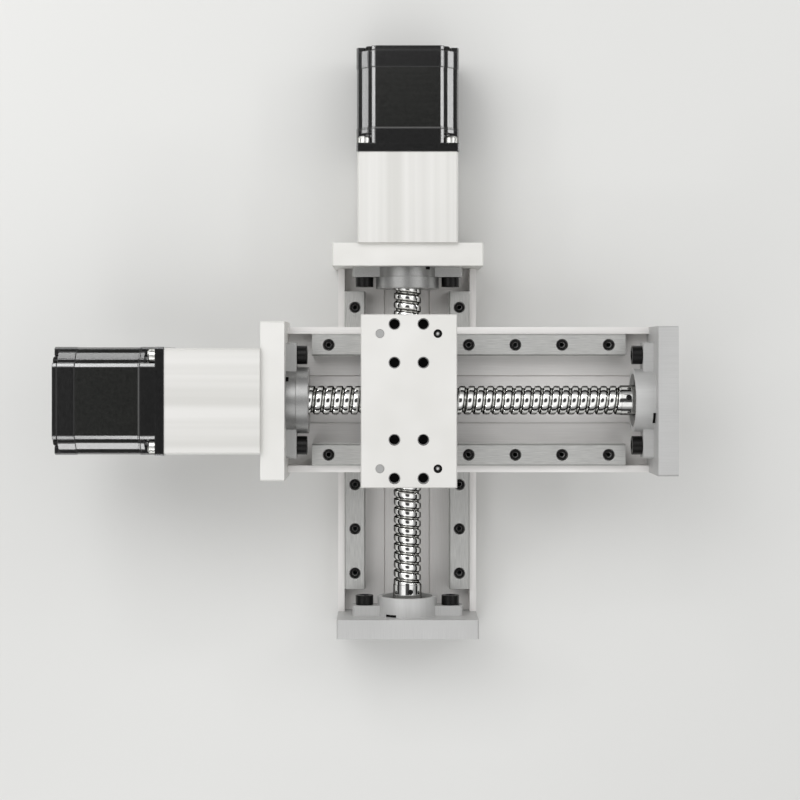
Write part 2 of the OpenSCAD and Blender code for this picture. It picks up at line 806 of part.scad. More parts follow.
module motor_rear_cap() {
    color("black") difference() {
        across(motor_end_x, rear_cap_len) translate([0, axis_z]) motor_outline();
        case_screw_place(motor_end_x) cylinder(d = m3 + 0.2, h = rear_cap_len + 1);
        for (p = grid(motor_w, motor_w))
            translate([motor_end_x - 1, p[0], axis_z + p[1]]) across(0, 1 + rear_step)
                square(motor_w - rear_band, center = true);
        bar(shaft_d + 0.6, motor_end_x + 3, rear_x + 1);
        socket_place() cube([socket_h, 5, socket_w]);
    }
}

// Low corner of the plug socket, in the side of the rear cap
module socket_place() {
    translate([motor_end_x + (rear_cap_len - socket_h) / 2, -motor_w / 2, axis_z - socket_w / 2])
        children();
}

module motor_connector() {
    color("white") difference() {
        socket_place() translate([fit, 2 * fit, fit]) cube([socket_h - 2 * fit, 4.7, socket_w - 2 * fit]);
        socket_place() translate([1, -1, 1]) cube([socket_h - 2, 5, socket_w - 2]);
    }
}

module motor_screws() {
    color("lightgray") {
        for (p = grid(motor_hole, motor_hole)) translate([motor_x - front_flange_t, p[0], axis_z + p[1]])
            rotate([0, -90, 0]) pan_screw(m4, 15, 7.6);
        case_screw_place(motor_end_x + rear_step) rotate([0, 180, 0])
            pan_screw(m3, rear_cap_len - rear_step + stator_len + case_grip, 5.4);
    }
}

module motor_rotor() {
    color("silver") union() {
        bar(shaft_d, motor_end_x + 3.5, hub_motor_x - 0.5);
        bar(stator_bore - 0.8, rear_x + 1, stator_x - 1);
    }
}

// The lower module: its screw along Y, its motor at +Y
module lower() {
    rotate([0, 0, -90]) children();
}

// The upper module: its foot on the lower table, its screw along X, its motor at -X
module upper() {
    translate([-upper_pos, -lower_pos, table_z]) children();
}

module stacking_screws() {
    color("black") upper() stack_place() translate([0, 0, floor_t - recess_d]) difference() {
        union() {
            cylinder(d = 1.75 * m6, h = 0.53 * m6);
            translate([0, 0, -stack_len]) cylinder(d = m6 - 2 * screw_gap, h = stack_len + 0.01);
        }
        translate([0, 0, 0.23 * m6]) cylinder(d = 0.77 * m6, h = m6, $fn = 6);
    }
}

// Every piece of both modules
lower() channel(stack_holes = false);  // lower_channel
lower() rails();  // lower_rails
lower() rail_screws();  // lower_rail_screws
lower() motor_plate();  // lower_motor_plate
lower() far_plate();  // lower_far_plate
lower() end_plate_screws();  // lower_end_plate_screws
lower() fixed_bearing_housing();  // lower_fixed_bearing_housing
lower() support_bearing_housing();  // lower_support_bearing_housing
lower() bearing_housing_screws();  // lower_bearing_housing_screws
lower() bearing_outer_rings();  // lower_bearing_outer_rings
lower() bearing_inner_rings();  // lower_bearing_inner_rings
lower() locking_rings();  // lower_locking_rings
lower() ball_screw();  // lower_ball_screw
lower() carriage(lower_pos) ball_nut();  // lower_ball_nut
lower() carriage(lower_pos) nut_screws();  // lower_nut_screws
lower() carriage(lower_pos) slider_block();  // lower_slider_block
lower() carriage(lower_pos) slider_end_caps();  // lower_slider_end_caps
lower() carriage(lower_pos) slider_balls();  // lower_slider_balls
lower() carriage(lower_pos) table();  // lower_table
lower() carriage(lower_pos) table_pins();  // lower_table_pins
lower() coupling_hubs();  // lower_coupling_hubs
lower() coupling_spider();  // lower_coupling_spider
lower() coupling_housing();  // lower_coupling_housing
lower() motor_front_cap();  // lower_motor_front_cap
lower() motor_stator();  // lower_motor_stator
lower() motor_rear_cap();  // lower_motor_rear_cap
lower() motor_screws();  // lower_motor_screws
lower() motor_rotor();  // lower_motor_rotor
lower() motor_connector();  // lower_motor_connector
upper() channel(stack_holes = true);  // upper_channel
upper() rails();  // upper_rails
upper() rail_screws();  // upper_rail_screws
upper() motor_plate();  // upper_motor_plate
upper() far_plate();  // upper_far_plate
upper() end_plate_screws();  // upper_end_plate_screws
upper() fixed_bearing_housing();  // upper_fixed_bearing_housing
upper() support_bearing_housing();  // upper_support_bearing_housing
upper() bearing_housing_screws();  // upper_bearing_housing_screws
upper() bearing_outer_rings();  // upper_bearing_outer_rings
upper() bearing_inner_rings();  // upper_bearing_inner_rings
upper() locking_rings();  // upper_locking_rings
upper() ball_screw();  // upper_ball_screw
upper() carriage(upper_pos) ball_nut();  // upper_ball_nut
upper() carriage(upper_pos) nut_screws();  // upper_nut_screws
upper() carriage(upper_pos) slider_block();  // upper_slider_block
upper() carriage(upper_pos) slider_end_caps();  // upper_slider_end_caps
upper() carriage(upper_pos) slider_balls();  // upper_slider_balls
upper() carriage(upper_pos) table();  // upper_table
upper() carriage(upper_pos) table_pins();  // upper_table_pins
upper() coupling_hubs();  // upper_coupling_hubs
upper() coupling_spider();  // upper_coupling_spider
upper() coupling_housing();  // upper_coupling_housing
upper() motor_front_cap();  // upper_motor_front_cap
upper() motor_stator();  // upper_motor_stator
upper() motor_rear_cap();  // upper_motor_rear_cap
upper() motor_screws();  // upper_motor_screws
upper() motor_rotor();  // upper_motor_rotor
upper() motor_connector();  // upper_motor_connector
stacking_screws();
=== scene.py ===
# %% [markdown]
# # A two-axis stage of ball screw modules
# Two linear modules of one kind are stacked at a right angle. Each has an aluminium channel, two rails, a
# polished ball screw, a travelling table and a black stepper motor. The frame gives every rigid piece at its
# real size. This script gives each one its finish, and makes anew the pieces that need finer shapes.

import json
import math

import bmesh
import bpy
from mathutils import Matrix, Vector

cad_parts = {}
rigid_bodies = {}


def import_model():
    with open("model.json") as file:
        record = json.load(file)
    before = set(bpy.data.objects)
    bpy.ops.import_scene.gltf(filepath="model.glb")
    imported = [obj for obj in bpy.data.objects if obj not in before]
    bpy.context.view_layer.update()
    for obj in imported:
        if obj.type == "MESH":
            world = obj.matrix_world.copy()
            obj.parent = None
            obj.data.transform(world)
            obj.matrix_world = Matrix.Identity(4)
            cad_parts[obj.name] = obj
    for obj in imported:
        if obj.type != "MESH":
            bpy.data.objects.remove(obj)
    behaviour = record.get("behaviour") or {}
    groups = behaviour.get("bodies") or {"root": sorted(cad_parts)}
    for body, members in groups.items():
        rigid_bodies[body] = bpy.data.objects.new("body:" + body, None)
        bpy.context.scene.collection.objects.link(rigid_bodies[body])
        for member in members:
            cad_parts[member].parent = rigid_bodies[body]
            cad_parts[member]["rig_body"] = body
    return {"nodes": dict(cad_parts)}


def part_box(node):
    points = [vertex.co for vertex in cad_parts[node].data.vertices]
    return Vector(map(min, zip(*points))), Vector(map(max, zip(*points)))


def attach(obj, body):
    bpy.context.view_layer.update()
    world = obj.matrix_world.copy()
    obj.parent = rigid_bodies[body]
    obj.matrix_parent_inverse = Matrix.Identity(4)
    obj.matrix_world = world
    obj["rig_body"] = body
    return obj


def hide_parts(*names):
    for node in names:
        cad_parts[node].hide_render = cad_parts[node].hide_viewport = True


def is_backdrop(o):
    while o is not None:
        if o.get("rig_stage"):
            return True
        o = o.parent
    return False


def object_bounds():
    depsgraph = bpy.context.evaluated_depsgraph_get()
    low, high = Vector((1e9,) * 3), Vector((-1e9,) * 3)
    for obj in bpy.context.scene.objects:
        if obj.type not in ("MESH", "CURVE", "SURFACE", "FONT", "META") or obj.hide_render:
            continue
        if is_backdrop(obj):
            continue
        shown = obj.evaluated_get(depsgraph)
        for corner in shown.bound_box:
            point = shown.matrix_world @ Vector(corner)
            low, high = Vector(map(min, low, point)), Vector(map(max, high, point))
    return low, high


for spare in list(bpy.data.objects):
    bpy.data.objects.remove(spare)
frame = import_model()
cad_low, cad_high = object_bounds()
MM = 0.001
SIDES = ("lower", "upper")
print("stage measures", [round(v / MM, 1) for v in cad_high - cad_low], "mm")

# %% [markdown]
# ## Places
# Both modules share one drawing: the screw runs along X, the motor is at -X and the foot is at z = 0. A
# module's own frame is kept as a matrix, so a piece is worked out once and set down twice. The alternative,
# typing the places of each copy, would leave one of them behind as soon as a size changes.

# %% A module's own frame
def middle(node):
    """The middle of a node's box."""
    low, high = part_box(node)
    return (Vector(low) + Vector(high)) / 2


def module_frame(side):
    """Matrix from a module's own frame to the stage: the channel's middle, with its foot at z = 0."""
    low = Vector(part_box(f"{side}_channel")[0])
    centre = middle(f"{side}_channel")
    turn = Matrix.Rotation(-math.pi / 2, 4, "Z") if side == "lower" else Matrix.Identity(4)
    return Matrix.Translation((centre.x, centre.y, low.z)) @ turn


PLACE = {side: module_frame(side) for side in SIDES}
BODY = {node: obj["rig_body"] for node, obj in frame["nodes"].items()}


def side_of(node):
    """The module that a node or piece belongs to."""
    return node.split("_")[0]


def own_box(node):
    """A node's box in its module's own frame."""
    back = PLACE[side_of(node)].inverted()
    corners = [back @ Vector(c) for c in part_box(node)]
    low = Vector([min(c[i] for c in corners) for i in range(3)])
    high = Vector([max(c[i] for c in corners) for i in range(3)])
    return low, high


def screw_axis(side):
    """Height of the screw's axis in its module's own frame, and the radius of its thread."""
    low, high = own_box(f"{side}_ball_screw")
    return (low.z + high.z) / 2, (high.z - low.z) / 2


print("upper module stands", round(PLACE["upper"].translation.z / MM, 1), "mm above the lower one")

# %% [markdown]
# ## Building materials
# Every finish is a node tree. One small function adds a node, sets what stays the same and links what comes
# from another node. Colours are written as they would be picked on a screen and turned to linear light in
# one place. Noise is measured in the object's own metres, so a scratch keeps its real width on every piece.

# %% Helpers for node trees
def linear(hex_colour):
    """A screen colour such as '#B0B0AE' as linear RGBA."""
    parts = [int(hex_colour[i : i + 2], 16) / 255 for i in (1, 3, 5)]
    return tuple(p / 12.92 if p <= 0.04045 else ((p + 0.055) / 1.055) ** 2.4 for p in parts) + (1.0,)


def add(tree, kind, inputs=None, stops=(), **settings):
    """Adds a node. An input is a value, a node or one of its outputs; stops are a ramp's (place, colour)."""
    made = tree.nodes.new(kind)
    for name, value in settings.items():
        setattr(made, name, value)
    for name, value in (inputs or {}).items():
        if isinstance(value, bpy.types.Node):
            value = value.outputs[0]
        if isinstance(value, bpy.types.NodeSocket):
            tree.links.new(value, made.inputs[name])
        else:
            made.inputs[name].default_value = value
    for _ in stops[2:]:
        made.color_ramp.elements.new(0.5)
    for index, (place, colour) in enumerate(stops):
        made.color_ramp.elements[index].position = place
        made.color_ramp.elements[index].color = linear(colour)
    return made


def blank_material(name):
    """An empty material and its tree."""
    material = bpy.data.materials.new(name)
    material.use_nodes = True
    material.node_tree.nodes.clear()
    return material, material.node_tree


def grain(tree, scale, detail=3.0, along=None, squeeze=1.0, roughness=0.55):
    """Noise with a real size: scale is features per metre, and squeeze draws them out along one axis."""
    stretch = [squeeze if axis == along else 1.0 for axis in range(3)]
    place = add(tree, "ShaderNodeTexCoord").outputs["Object"]
    mapped = add(tree, "ShaderNodeMapping", {"Vector": place, "Scale": stretch})
    values = {"Vector": mapped, "Scale": scale, "Detail": detail, "Roughness": roughness}
    return add(tree, "ShaderNodeTexNoise", values).outputs["Fac"]


print("helpers ready")

# %% [markdown]
# ## Aluminium
# The tables, end plates and channels are aluminium. Blasted with fine beads and anodised, it scatters light
# and looks almost white. Milled and anodised, it keeps fine parallel lines along the cutter's way. Drawn
# through a die, it has broad soft bands. The oxide layer hides most of the metal's mirror, so all three are
# only partly metallic, and noise squeezed along one axis draws the lines and bands.

# %% Aluminium finishes
def blasted_aluminium(name, dark, light, rough):
    """Bead-blasted, anodised: a fine even tooth, with faint clouds from the bath."""
    material, tree = blank_material(name)
    clouds = grain(tree, 28, detail=2)
    tooth = grain(tree, 1 / (0.35 * MM), detail=2)
    values = {
        "Base Color": add(tree, "ShaderNodeValToRGB", {"Fac": clouds}, stops=[(0.3, dark), (0.7, light)]),
        "Metallic": 0.35,
        "Roughness": add(
            tree, "ShaderNodeMapRange", {"Value": tooth, "To Min": rough - 0.05, "To Max": rough + 0.05}
        ),
        "Normal": add(tree, "ShaderNodeBump", {"Height": tooth, "Strength": 0.10, "Distance": 0.02 * MM}),
    }
    shader = add(tree, "ShaderNodeBsdfPrincipled", values)
    add(tree, "ShaderNodeOutputMaterial", {"Surface": shader})
    return material


def milled_aluminium(name, dark, light, along, rough=0.45):
    """Milled and clear anodised: lines along one axis, 0.4 mm apart."""
    material, tree = blank_material(name)
    lines = grain(tree, 1 / (0.4 * MM), detail=4, along=along, squeeze=0.02, roughness=0.7)
    clouds = grain(tree, 22, detail=2)
    mixed = add(tree, "ShaderNodeMath", {0: lines, 1: clouds}, operation="MULTIPLY")
    values = {
        "Base Color": add(tree, "ShaderNodeValToRGB", {"Fac": mixed}, stops=[(0.1, dark), (0.45, light)]),
        "Metallic": 0.2,
        "Roughness": add(
            tree, "ShaderNodeMapRange", {"Value": lines, "To Min": rough - 0.06, "To Max": rough + 0.08}
        ),
        "Normal": add(tree, "ShaderNodeBump", {"Height": lines, "Strength": 0.18, "Distance": 0.02 * MM}),
    }
    shader = add(tree, "ShaderNodeBsdfPrincipled", values)
    add(tree, "ShaderNodeOutputMaterial", {"Surface": shader})
    return material


def drawn_aluminium(name, dark, light, along):
    """Drawn through a die and anodised: soft bands along one axis, from 2 to 7 mm wide."""
    material, tree = blank_material(name)
    bands = grain(tree, 1 / (7 * MM), detail=2, along=along, squeeze=0.01, roughness=0.5)
    tooth = grain(tree, 1 / (0.35 * MM), detail=2)
    values = {
        "Base Color": add(tree, "ShaderNodeValToRGB", {"Fac": bands}, stops=[(0.35, dark), (0.65, light)]),
        "Metallic": 0.35,
        "Roughness": add(tree, "ShaderNodeMapRange", {"Value": bands, "To Min": 0.42, "To Max": 0.52}),
        "Normal": add(tree, "ShaderNodeBump", {"Height": tooth, "Strength": 0.08, "Distance": 0.02 * MM}),
    }
    shader = add(tree, "ShaderNodeBsdfPrincipled", values)
    add(tree, "ShaderNodeOutputMaterial", {"Surface": shader})
    return material


# the axis of the stage that each module's screw runs along
ALONG = {"lower": 1, "upper": 0}
SILVER = blasted_aluminium("blasted_aluminium", "#E0DFDB", "#E9E8E5", 0.5)
FAR = {s: milled_aluminium(f"sawn_aluminium_{s}", "#B7B7B6", "#C9C9C8", ALONG[s]) for s in SIDES}
DRAWN = {s: drawn_aluminium(f"drawn_aluminium_{s}", "#D8D7D3", "#E6E5E2", ALONG[s]) for s in SIDES}
MILLED = {s: milled_aluminium(f"milled_aluminium_{s}", "#E4E2E0", "#F4F2F0", ALONG[s]) for s in SIDES}
print("aluminium:", SILVER.name, *[m.name for m in MILLED.values()])

# %% [markdown]
# ## Steel
# Rails, housings and bearing parts are ground or turned steel, with fine lines. The ball screw is rolled and
# polished: it mirrors what is around it, and most of its bright and dark bands come from the shape of its
# groove. A little below the land its colour is painted darker. This is painted shade in the groove that also
# stands for grease. The distance from the screw's axis tells where, which stays true while the screw turns.

# %% Steel finishes
def ground_steel(name, dark, light, along, rough):
    """Ground steel: lines along one axis, a quarter of a millimetre apart."""
    material, tree = blank_material(name)
    lines = grain(tree, 1 / (0.25 * MM), detail=3, along=along, squeeze=0.03, roughness=0.6)
    values = {
        "Base Color": add(tree, "ShaderNodeValToRGB", {"Fac": lines}, stops=[(0.3, dark), (0.7, light)]),
        "Metallic": 0.7,
        "Roughness": add(
            tree, "ShaderNodeMapRange", {"Value": lines, "To Min": rough - 0.05, "To Max": rough + 0.06}
        ),
        "Normal": add(tree, "ShaderNodeBump", {"Height": lines, "Strength": 0.12, "Distance": 0.01 * MM}),
    }
    shader = add(tree, "ShaderNodeBsdfPrincipled", values)
    add(tree, "ShaderNodeOutputMaterial", {"Surface": shader})
    return material


def polished_steel(name, colour, rough):
    """Plated or polished: nearly a mirror, with a faint unevenness 2 mm across."""
    material, tree = blank_material(name)
    waves = grain(tree, 1 / (2 * MM), detail=2)
    bright = [(0.2, colour), (0.8, "#E6E6E4")]
    values = {
        "Base Color": add(tree, "ShaderNodeValToRGB", {"Fac": waves}, stops=bright),
        "Metallic": 1.0,
        "Specular Tint": (0.0, 0.0, 0.0, 1.0),
        "Roughness": add(
            tree, "ShaderNodeMapRange", {"Value": waves, "To Min": rough * 0.8, "To Max": rough * 1.3}
        ),
        "Normal": add(tree, "ShaderNodeBump", {"Height": waves, "Strength": 0.05, "Distance": 0.05 * MM}),
    }
    shader = add(tree, "ShaderNodeBsdfPrincipled", values)
    add(tree, "ShaderNodeOutputMaterial", {"Surface": shader})
    return material


GROOVE = 1.3 * MM


def shaded_greased_screw_steel(name, side):
    """Polished steel with painted shade and grease darkening its groove, told by the distance from the axis.
    """
    material, tree = blank_material(name)
    axis_z, radius = screw_axis(side)
    centre = PLACE[side] @ Vector((0, 0, axis_z))
    mask = (1, 0, 1) if side == "lower" else (0, 1, 1)
    place = add(tree, "ShaderNodeTexCoord").outputs["Object"]
    aside = add(tree, "ShaderNodeVectorMath", {0: place, 1: tuple(centre)}, operation="SUBTRACT")
    flat = add(tree, "ShaderNodeVectorMath", {0: aside, 1: mask}, operation="MULTIPLY")
    out = add(tree, "ShaderNodeVectorMath", {0: flat}, operation="LENGTH").outputs["Value"]
    limits = {"Value": out, "From Min": radius - GROOVE, "From Max": radius - 0.1 * MM}
    height = add(tree, "ShaderNodeMapRange", limits)
    # from the groove's floor, over painted shade and grease on its side, to the bright land
    groove_shade_stops = [(0.0, "#B4B4B0"), (0.3, "#8C8C88"), (0.6, "#2E2E2B"), (0.8, "#B8B8B6"), (0.95, "#E2E2E0")]
    waves = grain(tree, 1 / (2 * MM), detail=2)
    values = {
        "Base Color": add(tree, "ShaderNodeValToRGB", {"Fac": height}, stops=groove_shade_stops),
        "Metallic": 1.0,
        "Specular Tint": (0.0, 0.0, 0.0, 1.0),
        "Roughness": add(tree, "ShaderNodeMapRange", {"Value": waves, "To Min": 0.05, "To Max": 0.09}),
        "Normal": add(tree, "ShaderNodeBump", {"Height": waves, "Strength": 0.04, "Distance": 0.05 * MM}),
    }
    shader = add(tree, "ShaderNodeBsdfPrincipled", values)
    add(tree, "ShaderNodeOutputMaterial", {"Surface": shader})
    return material


def black_oxide_steel(name):
    """Hot blackened steel, slightly oily: dark, with a soft gloss and worn specks."""
    material, tree = blank_material(name)
    specks = grain(tree, 1 / (0.5 * MM), detail=4)
    worn = [(0.35, "#0E0E0E"), (0.75, "#262524")]
    values = {
        "Base Color": add(tree, "ShaderNodeValToRGB", {"Fac": specks}, stops=worn),
        "Metallic": 0.7,
        "Roughness": add(tree, "ShaderNodeMapRange", {"Value": specks, "To Min": 0.25, "To Max": 0.45}),
    }
    shader = add(tree, "ShaderNodeBsdfPrincipled", values)
    add(tree, "ShaderNodeOutputMaterial", {"Surface": shader})
    return material


# turned and milled faces of the housings keep upright lines, axis 2
RAIL = {s: ground_steel(f"ground_rail_steel_{s}", "#B2B2B0", "#D2D2CF", ALONG[s], 0.38) for s in SIDES}
HOUSING = {s: ground_steel(f"milled_housing_steel_{s}", "#A9A9A8", "#C4C4C3", 2, 0.4) for s in SIDES}
BOSS = {s: ground_steel(f"turned_boss_steel_{s}", "#8A8A89", "#A8A8A7", 2, 0.35) for s in SIDES}
# a lighter grey band at the front of each stator: a painted highlight along the seam
SEAM_HIGHLIGHT = {s: ground_steel(f"bare_sheet_steel_{s}", "#565655", "#6E6E6D", 2, 0.35) for s in SIDES}
BEARING = {s: ground_steel(f"bearing_steel_{s}", "#B4B4B2", "#D2D2D0", ALONG[s], 0.2) for s in SIDES}
POLISHED = polished_steel("polished_screw_steel", "#CCCCCA", 0.07)
# the screws' grooves are painted darker: painted shade that also stands for grease
SHADED_GREASED = {s: shaded_greased_screw_steel(f"greased_screw_steel_{s}", s) for s in SIDES}
OXIDE = black_oxide_steel("black_oxide_steel")
ZINC = polished_steel("zinc_plated_steel", "#C6C6C0", 0.28)
print("steel:", POLISHED.name, OXIDE.name, ZINC.name)

# %% [markdown]
# ## Paint, nylon and rubber
# The motors are coated in gloss black over cast end caps and a stack of thin steel sheets. The real sheets
# are half a millimetre thick, too fine to show, so the stator's bump has a soft wave every 3 mm instead. A
# clear coat over a dark base gives the gloss. The plug socket is white nylon, the end caps of the slider are
# dark nylon, and the coupling's spider is red rubber.

# %% Paint and plastics
def gloss_black_paint(name, dark, light, sheet_axis=None):
    """Gloss black coat with a little orange peel; with an axis, the stack of sheets below shows through."""
    material, tree = blank_material(name)
    peel = grain(tree, 1 / (1.5 * MM), detail=2)
    height = peel
    if sheet_axis is not None:
        place = add(tree, "ShaderNodeTexCoord").outputs["Object"]
        # a wave texture at this scale repeats every 3.1 mm
        waves = {"Vector": place, "Scale": 0.1 / MM}
        sheets = add(tree, "ShaderNodeTexWave", waves, bands_direction="XYZ"[sheet_axis]).outputs["Fac"]
        height = add(tree, "ShaderNodeMath", {0: sheets, 1: peel}, operation="ADD")
    values = {
        "Base Color": add(tree, "ShaderNodeValToRGB", {"Fac": peel}, stops=[(0.3, dark), (0.7, light)]),
        "Roughness": add(tree, "ShaderNodeMapRange", {"Value": peel, "To Min": 0.16, "To Max": 0.26}),
        "IOR": 1.6,
        "Coat Weight": 1.0,
        "Coat Roughness": 0.12,
        "Coat IOR": 1.6,
        "Normal": add(tree, "ShaderNodeBump", {"Height": height, "Strength": 0.08, "Distance": 0.05 * MM}),
    }
    shader = add(tree, "ShaderNodeBsdfPrincipled", values)
    add(tree, "ShaderNodeOutputMaterial", {"Surface": shader})
    return material


def moulded(name, dark, light, rough):
    """Moulded plastic or rubber: almost even, with a fine skin."""
    material, tree = blank_material(name)
    skin = grain(tree, 1 / (0.6 * MM), detail=2)
    values = {
        "Base Color": add(tree, "ShaderNodeValToRGB", {"Fac": skin}, stops=[(0.3, dark), (0.7, light)]),
        "Roughness": add(
            tree, "ShaderNodeMapRange", {"Value": skin, "To Min": rough - 0.06, "To Max": rough + 0.06}
        ),
        "Normal": add(tree, "ShaderNodeBump", {"Height": skin, "Strength": 0.08, "Distance": 0.03 * MM}),
    }
    shader = add(tree, "ShaderNodeBsdfPrincipled", values)
    add(tree, "ShaderNodeOutputMaterial", {"Surface": shader})
    return material


CAP_BLACK = gloss_black_paint("gloss_black_cap", "#020202", "#050505")
STATOR_BLACK = {
    s: gloss_black_paint(f"gloss_black_sheets_{s}", "#0A0B08", "#11120E", ALONG[s]) for s in SIDES
}
DARK_NYLON = moulded("dark_nylon", "#151515", "#202020", 0.5)
WHITE_NYLON = moulded("white_nylon", "#DAD8D0", "#E6E4DC", 0.45)
RED_RUBBER = moulded("red_rubber", "#8C1C16", "#A3251D", 0.6)
print("coats:", CAP_BLACK.name, DARK_NYLON.name, WHITE_NYLON.name, RED_RUBBER.name)

# %% [markdown]
# ## Who gets which finish
# One table says it for both modules, because a piece has the same name in each after lower or upper.
# Materials that follow the screw's direction exist once for each module. Assigning by hand, piece by piece,
# would take 59 lines and hide a mistake.

# %% Give every node its finish
def finishes(side):
    """Finish of each piece of a module, by the name it has after the side."""
    milled, rail, housing, bearing = MILLED[side], RAIL[side], HOUSING[side], BEARING[side]
    return {
        "channel": milled, "rails": rail, "rail_screws": OXIDE, "motor_plate": SILVER,
        "far_plate": FAR[side], "end_plate_screws": OXIDE, "fixed_bearing_housing": housing,
        "support_bearing_housing": FAR[side], "bearing_housing_screws": OXIDE,
        "bearing_outer_rings": bearing, "bearing_inner_rings": bearing, "locking_rings": POLISHED,
        "ball_screw": SHADED_GREASED[side], "ball_nut": housing, "nut_screws": OXIDE, "slider_block": milled,
        "slider_end_caps": DARK_NYLON, "slider_balls": bearing, "table": SILVER, "table_pins": housing,
        "coupling_hubs": milled, "coupling_spider": RED_RUBBER, "coupling_housing": DRAWN[side],
        "motor_front_cap": CAP_BLACK, "motor_stator": STATOR_BLACK[side], "motor_rear_cap": CAP_BLACK,
        "motor_screws": ZINC, "motor_rotor": bearing, "motor_connector": WHITE_NYLON,
    }


def dress(obj, material):
    """One material on the whole of a piece."""
    obj.data.materials.clear()
    obj.data.materials.append(material)


for side in SIDES:
    for part, material in finishes(side).items():
        dress(frame["nodes"][f"{side}_{part}"], material)
dress(frame["nodes"]["stacking_screws"], OXIDE)
print("dressed", len(frame["nodes"]), "nodes")

# %% [markdown]
# ## The ball screw's thread
# A rolled ball screw has a round groove that climbs one lead in a turn, with a land between. It could be
# swept along a helix, but the ends of a sweep never meet the next turn exactly. Here a flat grid is rolled
# up: its columns run round the screw and its rows climb with them, so every edge of the groove follows the
# helix. Geometry Nodes moves each point of the grid with a table of sums, and named inputs hold the sizes.

# %% Start, sums and end of a Geometry Nodes tree
def open_tree(name, sizes, seeded=False):
    """An empty Geometry Nodes tree with one named input for each size. Returns it with its inputs."""
    tree = bpy.data.node_groups.new(name, "GeometryNodeTree")
    tree.interface.new_socket(name="Geometry", in_out="INPUT", socket_type="NodeSocketGeometry")
    for label, value in sizes.items():
        socket = tree.interface.new_socket(name=label, in_out="INPUT", socket_type="NodeSocketFloat")
        socket.default_value = value * MM
    if seeded:
        tree.interface.new_socket(name="Seed", in_out="INPUT", socket_type="NodeSocketInt")
    tree.interface.new_socket(name="Material", in_out="INPUT", socket_type="NodeSocketMaterial")
    tree.interface.new_socket(name="Geometry", in_out="OUTPUT", socket_type="NodeSocketGeometry")
    given = add(tree, "NodeGroupInput").outputs
    return tree, {socket.name: socket for socket in given if socket.name}


def work_out(tree, known, sums):
    """Adds a table of sums. Each row is a result's name, an operation and the names or numbers it takes."""
    for name, operation, *terms in sums:
        values = {slot: known.get(term, term) for slot, term in enumerate(terms)}
        known[name] = add(tree, "ShaderNodeMath", values, operation=operation)


def close_tree(tree, geometry, known):
    """Ends a tree: copies become real, the material is set and the geometry goes out."""
    real = add(tree, "GeometryNodeRealizeInstances", {"Geometry": geometry})
    painted = add(tree, "GeometryNodeSetMaterial", {"Geometry": real, "Material": known["Material"]})
    add(tree, "NodeGroupOutput", {"Geometry": painted})
    print(tree.name, "tree has", len(tree.nodes), "nodes")
    return tree


